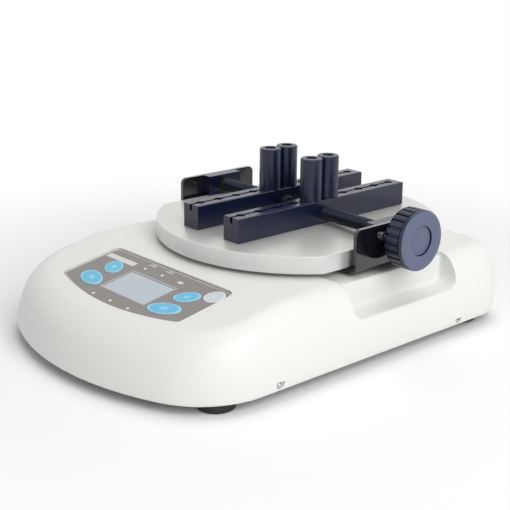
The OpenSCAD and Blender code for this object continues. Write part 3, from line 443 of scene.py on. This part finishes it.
def shell(name, half, wall):
    """Closed body under the skin that lies wall deep."""
    m = len(half) - 1
    n = 2 * m + 1
    steps = sum(SHELL_STEPS)
    verts = []
    for s in range(steps + 1):
        row = [shell_point(p, s, wall) for p in half]
        verts += row + [(-x, y, z) for x, y, z in reversed(row[1:])]
    faces = [list(range(n - 1, -1, -1))]
    for s in range(steps):
        for i in range(n):
            j = (i + 1) % n
            faces.append((s * n + i, s * n + j, (s + 1) * n + j, (s + 1) * n + i))
    top = steps * n
    faces.append((top + n - 1, top, top + 1))
    for i in range(1, m):
        faces.append((top + n - i, top + i, top + i + 1, top + n - i - 1))
    obj = add_mesh(name, verts, faces)
    tidy_normals(obj)
    return obj


def pocket(name, x, grow, side):
    """Side pocket from x outwards, with rounded lower corners."""
    half = POCKET_L / 2 + grow
    r = POCKET_R + grow
    floor = POCKET_FLOOR - grow
    top = COVER_TOP + CUT
    ring = [(POCKET_MID + half, top), (POCKET_MID - half, top)]
    for cy, a0 in ((POCKET_MID - half + r, math.pi), (POCKET_MID + half - r, 1.5 * math.pi)):
        for i in range(POCKET_STEPS + 1):
            a = a0 + math.pi / 2 * i / POCKET_STEPS
            ring.append((cy + r * math.cos(a), floor + r + r * math.sin(a)))
    n = len(ring)
    ends = sorted((side * x, side * (HALF_W + CUT)))
    verts = [(e, y, z) for e in ends for y, z in ring]
    faces = [list(range(n)), list(range(2 * n - 1, n - 1, -1))]
    faces += [(i, n + i, n + (i + 1) % n, (i + 1) % n) for i in range(n)]
    obj = add_mesh(name, verts, faces)
    tidy_normals(obj)
    return obj


def ledge(name, grow, side):
    """Shallow step between a pocket and the table."""
    half = POCKET_L / 2 + grow
    xs = sorted((side * (LEDGE_X - grow), side * (POCKET_X + LEDGE_LAP)))
    return block(name, (xs[0], POCKET_MID - half, COVER_TOP - LEDGE_DEPTH - grow),
                 (xs[1], POCKET_MID + half, COVER_TOP + CUT))


def panel_outline():
    return half_outline(PANEL_W / 2, PANEL_NOSE, PANEL_BACK, PANEL_ARC_R, PANEL_FRONT_CORNER_R,
                        PANEL_CORNER_R, PANEL_SIDE_STEP, PANEL_STEPS)


def round_edges(body):
    """Evens out the skin and softens every edge that was cut so far."""
    mod = body.modifiers.new("even", "REMESH")
    mod.mode = "VOXEL"
    mod.voxel_size = VOXEL * MM
    mod.use_smooth_shade = True
    mod = body.modifiers.new("soften", "SMOOTH")
    mod.factor = SOFTEN_FACTOR
    mod.iterations = SOFTEN
    bake(body)


def panel_holes():
    """Cutting pieces for the keys, the lights and the display."""
    holes = []
    for _, place, length, width, turn in KEYS:
        outline = ellipse(*place, length + 2 * KEY_FIT, width + 2 * KEY_FIT, turn)
        holes.append(prism("key_hole", outline, -CUT, 0, ON_PANEL))
    light = LIGHT_D + HOLE_FIT
    holes += [prism("light_hole", ellipse(*place, light, light, steps=LIGHT_STEPS), -CUT, 0, ON_PANEL)
              for place in LIGHT_PLACES]
    display = rectangle(0, 0, DISPLAY[0] + HOLE_FIT, DISPLAY[1] + HOLE_FIT)
    holes.append(prism("display_hole", display, -CUT, 0, ON_PANEL))
    return holes


def side_holes():
    """Cutting pieces for the cover screws' seats and the rear port."""
    seat = ellipse(0, 0, SEAT_D, SEAT_D, steps=SEAT_STEPS)
    facing_side = Matrix.Rotation(math.pi / 2, 4, "Y")
    holes = []
    for side in (-1, 1):
        for y in COVER_SCREW_ROWS:
            place = Matrix.Translation(Vector((side * HALF_W, y, COVER_SCREW_Z)) * MM) @ facing_side
            holes.append(prism("seat", seat, -SEAT_DEPTH, SEAT_DEPTH, place))
    holes.append(block("port_opening", (-PORT_W / 2, BODY_REAR - WALL_T - PORT_LAP, PORT_Z - PORT_H / 2),
                       (PORT_W / 2, BODY_REAR + CUT, PORT_Z + PORT_H / 2)))
    return holes


def make_cover():
    """Hollow body with its pockets, softened, then with its sharper panel and holes."""
    half = half_outline(HALF_W, BODY_FRONT, BODY_REAR, FRONT_ARC_R, FRONT_CORNER_R,
                        REAR_CORNER_R, BODY_SIDE_STEP, BODY_STEPS)
    body = shell("cover_body", half, 0)
    room = shell("cover_room", half, WALL_T)
    cut(room, [pocket("room_pocket", POCKET_X - WALL_T, WALL_T, side) for side in (-1, 1)]
        + [ledge("room_ledge", WALL_T, side) for side in (-1, 1)])
    tools = [room] + [pocket("pocket", POCKET_X, 0, side) for side in (-1, 1)]
    tools += [ledge("ledge", 0, side) for side in (-1, 1)]
    tools.append(prism("hub_hole", ellipse(0, 0, 2 * HUB_HOLE_R, 2 * HUB_HOLE_R),
                       COVER_TOP - WALL_T - CUT, COVER_TOP + CUT))
    cut(body, tools)
    round_edges(body)
    cut(body, [prism("panel_pocket", whole(panel_outline(), PANEL_FIT), -OVERLAY_T, CUT, ON_PANEL)])
    cut(body, panel_holes() + side_holes())
    body.name = "body_shell"
    smooth(body, angle=35)
    return body


# Table, screw, knob and panel trim

def knob_stations():
    """Profile of the knob as (x, r): hub, back edge, fluted skin, groove, rim and recess."""
    back, front = KNOB_BACK_X, KNOB_FACE_X
    flute_end = front - KNOB_RIM - KNOB_GROOVE
    soft, edge = KNOB_BACK_EDGE, KNOB_EDGE
    stations = [(back - KNOB_HUB_L, KNOB_HUB_R), (back + STEP_L, KNOB_HUB_R)]
    stations += [(back + STEP_L, KNOB_R - 2 * soft), (back, KNOB_R - 2 * soft)]
    stations += [(back + soft - soft * math.cos(a), KNOB_R - soft + soft * math.sin(a))
                 for a in KNOB_BACK_TURNS]
    stations += [(back + soft + (flute_end - back - soft) * i / KNOB_LENGTH_STEPS, KNOB_R)
                 for i in range(1, KNOB_LENGTH_STEPS + 1)]
    stations += [(flute_end + STEP_L, KNOB_R - KNOB_GROOVE_DEPTH),
                 (flute_end + KNOB_GROOVE - STEP_L, KNOB_R - KNOB_GROOVE_DEPTH),
                 (flute_end + KNOB_GROOVE, KNOB_R - STEP_L)]
    stations += [(front - edge + edge * math.sin(a), KNOB_R - edge + edge * math.cos(a))
                 for a in KNOB_EDGE_TURNS]
    stations += [(front, CAP_R + KNOB_FACE_EDGE), (front - CAP_GAP, CAP_R + CAP_GAP),
                 (front - CAP_RECESS - CAP_T, CAP_R + CAP_GAP)]
    return stations


def make_knob():
    """Ribbed ring with rounded slot ends, a groove, a smooth rim and a recessed face."""
    flute_end = KNOB_FACE_X - KNOB_RIM - KNOB_GROOVE
    slot_half = FLUTE_W / 2 / (2 * math.pi * KNOB_R / FLUTES)

    def radius(x, a, r):
        if not KNOB_BACK_X + FLUTE_START < x < flute_end + FLUTE_REACH or r < KNOB_R - FLUTE_SKIN:
            return r
        turn = a * FLUTES / (2 * math.pi)
        off = abs(turn - round(turn))
        deep = max(0.0, min(1.0, (slot_half + FLUTE_WALL_SHARE - off) / FLUTE_WALL_SHARE))
        near = (flute_end - x) / FLUTE_RUNOUT
        end = 1.0 if near >= 1 else math.sqrt(max(0.0, near * (2 - near)))
        crown = RIB_CROWN * (1 - math.cos(2 * math.pi * (off - 0.5))) / 2
        return r - FLUTE_DEPTH * deep * end - crown * end

    obj = grid("knob_ring", along_screw(knob_stations(), radius, FLUTES * KNOB_STEPS))
    smooth(obj, angle=45)
    return obj


def make_cap():
    """Round face in the knob's recess, with a small edge."""
    front = KNOB_FACE_X - CAP_RECESS
    stations = [(front - CAP_T, CAP_R), (front - CAP_EDGE, CAP_R),
                (front - CAP_EDGE / 4, CAP_R - CAP_EDGE / 4), (front, CAP_R - CAP_EDGE), (front, CAP_POLE_R)]
    obj = grid("knob_cap_face", along_screw(stations, lambda x, a, r: r, ROUND_STEPS))
    smooth(obj)
    return obj


def make_screw():
    """Screw with a left-hand and a right-hand thread and plain journals."""
    root = SCREW_R - THREAD_DEPTH
    count = int(SCREW_END / THREAD_LEAD * THREAD_STEPS)
    xs = [i * THREAD_LEAD / THREAD_STEPS for i in range(count + 1)]
    end = xs[-1]
    stations = [(-SCREW_LEFT, JOURNAL_R), (-end - STEP_L, JOURNAL_R)]
    stations += [(-x, SCREW_R) for x in reversed(xs[1:])] + [(x, SCREW_R) for x in xs]
    stations += [(end + STEP_L, JOURNAL_R), (KNOB_BACK_X + JOURNAL_IN_KNOB, JOURNAL_R)]

    def radius(x, a, r):
        if r < SCREW_R:
            return r
        if abs(x) < SCREW_MID:
            return root
        phase = (x / THREAD_LEAD - math.copysign(1, x) * a / (2 * math.pi)) % 1.0
        shape = min(1.0, max(0.0, THREAD_SLOPE * (1 - abs(2 * phase - 1)) - THREAD_ROOT))
        ends = min(1.0, (abs(x) - SCREW_MID) / MID_RUNOUT, (SCREW_END - abs(x)) / END_RUNOUT)
        return root + THREAD_DEPTH * shape * max(0.0, ends)

    obj = grid("screw_thread", along_screw(stations, radius, SCREW_STEPS))
    smooth(obj, angle=60)
    return obj


def disc_outline(inset):
    """Circle of the table with its two side flats, drawn in by inset."""
    r, flat = TABLE_R - inset, TABLE_FLAT - inset
    start = math.acos(flat / r)
    rear = [(r * math.cos(a), r * math.sin(a)) for a in np.linspace(start, math.pi - start, TABLE_STEPS)]
    return rear + [(-x, -y) for x, y in rear]


def make_disc():
    """Round table with two side flats and a small edge."""
    levels = [(-TABLE_T, TABLE_EDGE), (-TABLE_T + TABLE_EDGE, 0)]
    levels += [(-down * TABLE_EDGE, inset * TABLE_EDGE) for down, inset in TABLE_EDGE_SHARES]
    rows = [[(x, y, z) for x, y in disc_outline(inset)] for z, inset in levels]
    obj = grid("table_plate", rows)
    smooth(obj, angle=30)
    return obj


def soften(node, width):
    mod = frame["nodes"][node].modifiers.new("edges", "BEVEL")
    mod.width = width * MM
    mod.segments = SOFT_EDGE_SEGMENTS
    mod.limit_method = "ANGLE"
    mod.angle_limit = SOFT_EDGE_ANGLE
    mod.harden_normals = True


def make_trim():
    """Pale line round the panel, rim of the display, label bar and plain marks."""
    panel = panel_outline()
    line = frame_ring("panel_line", whole(panel, -LINE_INSET), whole(panel, -LINE_INSET - LINE_W),
                      0, TRIM_T, ON_PANEL)
    length, width = DISPLAY[0] + HOLE_FIT, DISPLAY[1] + HOLE_FIT
    rim = frame_ring("display_rim", rectangle(0, 0, length + 2 * RIM_W, width + 2 * RIM_W),
                     rectangle(0, 0, length, width), 0, TRIM_T, ON_PANEL)
    pieces = [line, rim]
    for kind, places in (("label_bar", LABEL_BARS), ("panel_mark", MARKS)):
        for i, place in enumerate(places):
            pieces.append(prism("%s_%d" % (kind, i), rectangle(*place), 0, TRIM_T, ON_PANEL))
    pieces.append(prism("panel_oval", ellipse(*OVAL, steps=OVAL_STEPS), 0, TRIM_T, ON_PANEL))
    return pieces


# Materials

def linear(rgb):
    """Shader colour from one on the photograph's 0 to 255 scale."""
    return tuple(((c / 255 + 0.055) / 1.055) ** 2.4 if c > 10 else c / 255 / 12.92 for c in rgb)


def colour_sockets(sockets):
    return {socket.name: socket for socket in sockets if socket.type == "RGBA"}


def colour_mix(mat):
    """Mix node for colours, with its colour inputs and its result."""
    mix = mat.node_tree.nodes.new("ShaderNodeMix")
    mix.data_type = "RGBA"
    return mix, colour_sockets(mix.inputs), colour_sockets(mix.outputs)["Result"]


def material(name, rgb, rough=0.5, metal=0.0, vary=0.03, scale=60.0, stretch=(1, 1, 1),
             bump=0.0, rough_vary=0.06, coat=0.0):
    """Principled finish whose colour, roughness and surface vary a little over the piece."""
    mat = bpy.data.materials.new(name)
    mat.use_nodes = True
    nodes, links = mat.node_tree.nodes, mat.node_tree.links
    shader = nodes["Principled BSDF"]
    shader.inputs["Metallic"].default_value = metal
    shader.inputs["Coat Weight"].default_value = coat
    place = nodes.new("ShaderNodeTexCoord")
    mapping = nodes.new("ShaderNodeMapping")
    mapping.inputs["Scale"].default_value = stretch
    links.new(place.outputs["Object"], mapping.inputs["Vector"])
    noise = nodes.new("ShaderNodeTexNoise")
    noise.inputs["Scale"].default_value = scale
    noise.inputs["Detail"].default_value = NOISE_DETAIL
    links.new(mapping.outputs["Vector"], noise.inputs["Vector"])
    mix, ends, result = colour_mix(mat)
    for end, share in (("A", 1 - vary), ("B", 1 + vary)):
        ends[end].default_value = (*[min(1.0, c * share) for c in linear(rgb)], 1.0)
    links.new(noise.outputs["Fac"], mix.inputs["Factor"])
    links.new(result, shader.inputs["Base Color"])
    spread = nodes.new("ShaderNodeMapRange")
    spread.inputs["To Min"].default_value = max(LEAST_ROUGH, rough - rough_vary)
    spread.inputs["To Max"].default_value = min(1.0, rough + rough_vary)
    links.new(noise.outputs["Fac"], spread.inputs["Value"])
    links.new(spread.outputs["Result"], shader.inputs["Roughness"])
    if bump:
        fine = nodes.new("ShaderNodeBump")
        fine.inputs["Strength"].default_value = bump
        fine.inputs["Distance"].default_value = BUMP_HEIGHT * MM
        links.new(noise.outputs["Fac"], fine.inputs["Height"])
        links.new(fine.outputs["Normal"], shader.inputs["Normal"])
    return mat


def key_material(node, place, length, width, turn, colour, rim, mark):
    """Key cap with a paler rim and a faint pale mark in its middle, as strong as mark says."""
    mat = material("%s_finish" % node, colour, rough=0.42, vary=0.03, scale=140)
    nodes, links = mat.node_tree.nodes, mat.node_tree.links
    shader = nodes["Principled BSDF"]
    body = shader.inputs["Base Color"].links[0].from_socket
    coords = nodes.new("ShaderNodeTexCoord")
    to_key = nodes.new("ShaderNodeMapping")
    to_key.vector_type = "TEXTURE"
    on_key = ON_PANEL.to_3x3() @ Matrix.Rotation(math.radians(turn), 3, "Z")
    to_key.inputs["Location"].default_value = ON_PANEL @ Vector((place[0] * MM, place[1] * MM, 0))
    to_key.inputs["Rotation"].default_value = on_key.to_euler()
    to_key.inputs["Scale"].default_value = (length / 2 * MM, width / 2 * MM, 1.0)
    links.new(coords.outputs["Object"], to_key.inputs["Vector"])
    flat = nodes.new("ShaderNodeVectorMath")
    flat.operation = "MULTIPLY"
    flat.inputs[1].default_value = (1, 1, 0)
    links.new(to_key.outputs["Vector"], flat.inputs[0])
    far = nodes.new("ShaderNodeVectorMath")
    far.operation = "LENGTH"
    links.new(flat.outputs["Vector"], far.inputs[0])
    ramp = nodes.new("ShaderNodeValToRGB")
    stops = ramp.color_ramp.elements
    stops[0].position, stops[0].color = (0.0, (mark, mark, mark, 1))
    stops[1].position, stops[1].color = (1.0, (1, 1, 1, 1))
    for position, value in ((MARK_R, mark), (MARK_END, 0.0), (RIM_START, 0.0), (RIM_FULL, RIM_STRENGTH)):
        stop = stops.new(position)
        stop.color = (value, value, value, 1)
    links.new(far.outputs["Value"], ramp.inputs["Fac"])
    mix, ends, result = colour_mix(mat)
    ends["B"].default_value = (*linear(rim), 1)
    links.new(body, ends["A"])
    links.new(ramp.outputs["Color"], mix.inputs["Factor"])
    links.new(result, shader.inputs["Base Color"])
    return mat


def dress(obj, mat):
    obj.data.materials.clear()
    obj.data.materials.append(mat)


def dress_some(obj, mat, chosen):
    """Gives the faces that are chosen a second finish."""
    obj.data.materials.append(mat)
    for face in obj.data.polygons:
        if chosen(face):
            face.material_index = 1


# Finish of each material slot, with colours on the 0 to 255 scale
LOOKS = {
    "cover": dict(rgb=(228, 229, 225), rough=0.42, vary=0.012, scale=90, bump=0.05),
    "zinc_plate": dict(rgb=(178, 180, 182), rough=0.38, metal=0.9, vary=0.05, bump=0.05),
    "screws": dict(rgb=(190, 191, 194), rough=0.28, metal=1.0, vary=0.05, scale=400),
    "foot_rubber": dict(rgb=(34, 34, 36), rough=0.7, vary=0.12, scale=200, bump=0.2),
    "overlay": dict(rgb=(134, 129, 126), rough=0.5, vary=0.02, scale=500, bump=0.06),
    # Display with a painted reflection: its colour drifts lighter and darker in broad soft patches across
    # the window
    "display": dict(rgb=(178, 190, 198), rough=0.12, vary=0.05, scale=14, rough_vary=0.03, coat=0.4),
    "lights": dict(rgb=(238, 238, 232), rough=0.3, vary=0.02, scale=200),
    "lcd": dict(rgb=(120, 128, 120), rough=0.3, vary=0.05),
    "circuit_board": dict(rgb=(40, 104, 70), rough=0.4, vary=0.1, scale=150),
    "black_parts": dict(rgb=(36, 36, 38), rough=0.45, vary=0.1),
    "cells": dict(rgb=(70, 110, 80), rough=0.35, vary=0.08),
    "machined_alloy": dict(rgb=(200, 201, 203), rough=0.3, metal=0.95, vary=0.04, bump=0.04),
    "table": dict(rgb=(214, 213, 209), rough=0.36, metal=0.55, vary=0.02, scale=300,
                  stretch=(0.04, 1, 1), bump=0.03),
    "bronze": dict(rgb=(74, 60, 44), rough=0.45, metal=0.8, vary=0.06),
    "wire": dict(rgb=(60, 60, 66), rough=0.55, vary=0.1),
    "ribbon": dict(rgb=(170, 172, 176), rough=0.5, vary=0.05),
    "gloss_black_plate": dict(rgb=(18, 20, 26), rough=0.06, vary=0.10, scale=60, rough_vary=0.02, coat=0.7),
    # Black alloy with painted sheen: its broad, strong colour patches (vary 0.35 at scale 14) stand in for
    # reflections on the glossy pieces
    "black_alloy": dict(rgb=(14, 20, 46), rough=0.24, vary=0.35, scale=14, bump=0.03, coat=0.1),
    "screw_steel": dict(rgb=(40, 43, 56), rough=0.3, metal=0.85, vary=0.08, scale=300),
    "knob_plastic": dict(rgb=(16, 22, 50), rough=0.34, vary=0.06, scale=160, bump=0.05),
    "blue_keys": dict(rgb=(84, 184, 226), rough=0.42, vary=0.03),
    "power_key": dict(rgb=(206, 214, 220), rough=0.42, vary=0.03),
    "post_rubber": dict(rgb=(18, 25, 52), rough=0.28, vary=0.08, scale=140, bump=0.05),
}
FINISHES = {slot: material(slot, **looks) for slot, looks in LOOKS.items()}
# Rim finish with painted highlights: its colour is striped in vertical bands, lighter and darker, that stand
# in for the highlight bands on the brushed rim
table_rim_painted_bands = material("table_rim_painted_bands", (212, 212, 210), rough=0.3, metal=0.5, vary=0.13, scale=38,
                     stretch=(1, 1, 0.02))
knob_face = material("knob_face", (94, 102, 128), rough=0.42, metal=0.3, vary=0.04, scale=200,
                     stretch=(1, 0.3, 0.3), bump=0.03)
pale_print = material("pale_print", (214, 214, 210), rough=0.5, vary=0.02, scale=300)
rim_print = material("rim_print", (186, 190, 193), rough=0.5, vary=0.02, scale=300)


# Dressing the frame

def stand_in(piece, node, body):
    """Lets a finer piece stand for a CAD node."""
    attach(piece, body)
    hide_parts(node)


slots = {p["node"]: p["material_slot"] for p in frame["record"]["subparts"]}
for node, obj in frame["nodes"].items():
    dress(obj, FINISHES[slots[node]])
for node, width in SOFT_EDGES.items():
    soften(node, width)
for node, place, length, width, turn in KEYS:
    look = POWER_KEY if node == "key_power" else BLUE_KEY
    dress(frame["nodes"][node], key_material(node, place, length, width, turn, *look))

cover = make_cover()
dress(cover, FINISHES["cover"])
stand_in(cover, "cover", "base")

knob = make_knob()
face_x = (KNOB_FACE_X - KNOB_FACE_EDGE) * MM
dress(knob, FINISHES["knob_plastic"])
dress_some(knob, knob_face, lambda face: face.center.x > face_x and face.normal.x > FRONT_FACING)
stand_in(knob, "knob", "screw")

cap = make_cap()
dress(cap, knob_face)
stand_in(cap, "knob_cap", "screw")

screw = make_screw()
dress(screw, FINISHES["screw_steel"])
stand_in(screw, "lead_screw", "screw")

disc = make_disc()
dress(disc, FINISHES["table"])
dress_some(disc, table_rim_painted_bands, lambda face: abs(face.normal.z) < RIM_FACING)
stand_in(disc, "table_disc", "table")

for piece in make_trim():
    dress(piece, rim_print if piece.name == "display_rim" else pale_print)
    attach(piece, "base")


# Floor, light and camera

def seen_directly(nodes, links):
    """1 for what the camera sees by itself, in gloss or through glass, and 0 for other light."""
    path = nodes.new("ShaderNodeLightPath")
    seen = path.outputs["Is Camera Ray"]
    for ray in ("Is Glossy Ray", "Is Transmission Ray"):
        either = nodes.new("ShaderNodeMath")
        either.operation = "MAXIMUM"
        links.new(seen, either.inputs[0])
        links.new(path.outputs[ray], either.inputs[1])
        seen = either.outputs["Value"]
    return seen


def floor_finish():
    """Pale paper near the part that fades into the white background."""
    mat = bpy.data.materials.new("floor_white")
    mat.use_nodes = True
    nodes, links = mat.node_tree.nodes, mat.node_tree.links
    nodes.clear()
    paper = nodes.new("ShaderNodeBsdfDiffuse")
    paper.inputs["Color"].default_value = (FLOOR_GREY, FLOOR_GREY, FLOOR_GREY, 1)
    far_white = nodes.new("ShaderNodeEmission")
    coords = nodes.new("ShaderNodeTexCoord")
    span = nodes.new("ShaderNodeVectorMath")
    span.operation = "LENGTH"
    links.new(coords.outputs["Object"], span.inputs[0])
    fade = nodes.new("ShaderNodeMapRange")
    fade.interpolation_type = "SMOOTHSTEP"
    fade.inputs["From Min"].default_value = FLOOR_NEAR * MM
    fade.inputs["From Max"].default_value = FLOOR_FAR * MM
    links.new(span.outputs["Value"], fade.inputs["Value"])
    share = nodes.new("ShaderNodeMath")
    share.operation = "MULTIPLY"
    links.new(fade.outputs["Result"], share.inputs[0])
    links.new(seen_directly(nodes, links), share.inputs[1])
    blend = nodes.new("ShaderNodeMixShader")
    links.new(share.outputs["Value"], blend.inputs["Fac"])
    links.new(paper.outputs["BSDF"], blend.inputs[1])
    links.new(far_white.outputs["Emission"], blend.inputs[2])
    ends = nodes.new("ShaderNodeOutputMaterial")
    links.new(blend.outputs["Shader"], ends.inputs["Surface"])
    return mat


def make_floor():
    s = FLOOR_SIZE / 2
    corners = [(-s, -s, FLOOR_Z), (s, -s, FLOOR_Z), (s, s, FLOOR_Z), (-s, s, FLOOR_Z)]
    return add_mesh("floor", corners, [(0, 1, 2, 3)])


def make_lamp(name, at, size, level):
    """Soft lamp that lifts a white face that looks at it by level."""
    data = bpy.data.lights.new(name, "AREA")
    data.shape = "SQUARE"
    data.size = size
    place = Vector(at)
    data.energy = level * math.pi ** 2 * place.length_squared
    obj = bpy.data.objects.new(name, data)
    obj.location = place
    obj.rotation_euler = place.to_track_quat("Z", "Y").to_euler()
    bpy.context.scene.collection.objects.link(obj)


def make_world():
    """Soft light all round, white where it is seen."""
    world = bpy.data.worlds.new("studio")
    bpy.context.scene.world = world
    world.use_nodes = True
    nodes, links = world.node_tree.nodes, world.node_tree.links
    nodes.clear()
    mix = nodes.new("ShaderNodeMixShader")
    links.new(seen_directly(nodes, links), mix.inputs["Fac"])
    for socket, strength in ((1, WORLD_LEVEL), (2, 1.0)):
        light = nodes.new("ShaderNodeBackground")
        light.inputs["Color"].default_value = (1, 1, 1, 1)
        light.inputs["Strength"].default_value = strength
        links.new(light.outputs["Background"], mix.inputs[socket])
    out = nodes.new("ShaderNodeOutputWorld")
    links.new(mix.outputs["Shader"], out.inputs["Surface"])


def make_camera():
    """Camera at the photograph's place, turn and framing."""
    camera = bpy.data.objects.new("camera", bpy.data.cameras.new("camera"))
    bpy.context.scene.collection.objects.link(camera)
    back = Vector((math.sin(AZIMUTH) * math.cos(ELEVATION), -math.cos(AZIMUTH) * math.cos(ELEVATION),
                   math.sin(ELEVATION)))
    level_right = Vector((math.cos(AZIMUTH), math.sin(AZIMUTH), 0))
    level_up = back.cross(level_right)
    right = level_right * math.cos(ROLL) + level_up * math.sin(ROLL)
    up = level_up * math.cos(ROLL) - level_right * math.sin(ROLL)
    turned = Matrix((right, up, back)).transposed().to_4x4()
    camera.matrix_world = Matrix.Translation(Vector(CAMERA_AT) * MM) @ turned
    camera.data.sensor_width = SENSOR
    camera.data.lens = FOCAL_PX / PHOTO_PX * SENSOR
    camera.data.shift_x = (PHOTO_PX / 2 - CENTRE_PX[0]) / PHOTO_PX
    camera.data.shift_y = (CENTRE_PX[1] - PHOTO_PX / 2) / PHOTO_PX
    camera.data.clip_start = CLIP_START * MM
    return camera


floor = make_floor()
dress(floor, floor_finish())
for lamp in LAMPS:
    make_lamp(*lamp)
make_world()
bpy.context.scene.camera = make_camera()
bpy.context.scene.view_settings.view_transform = "Standard"
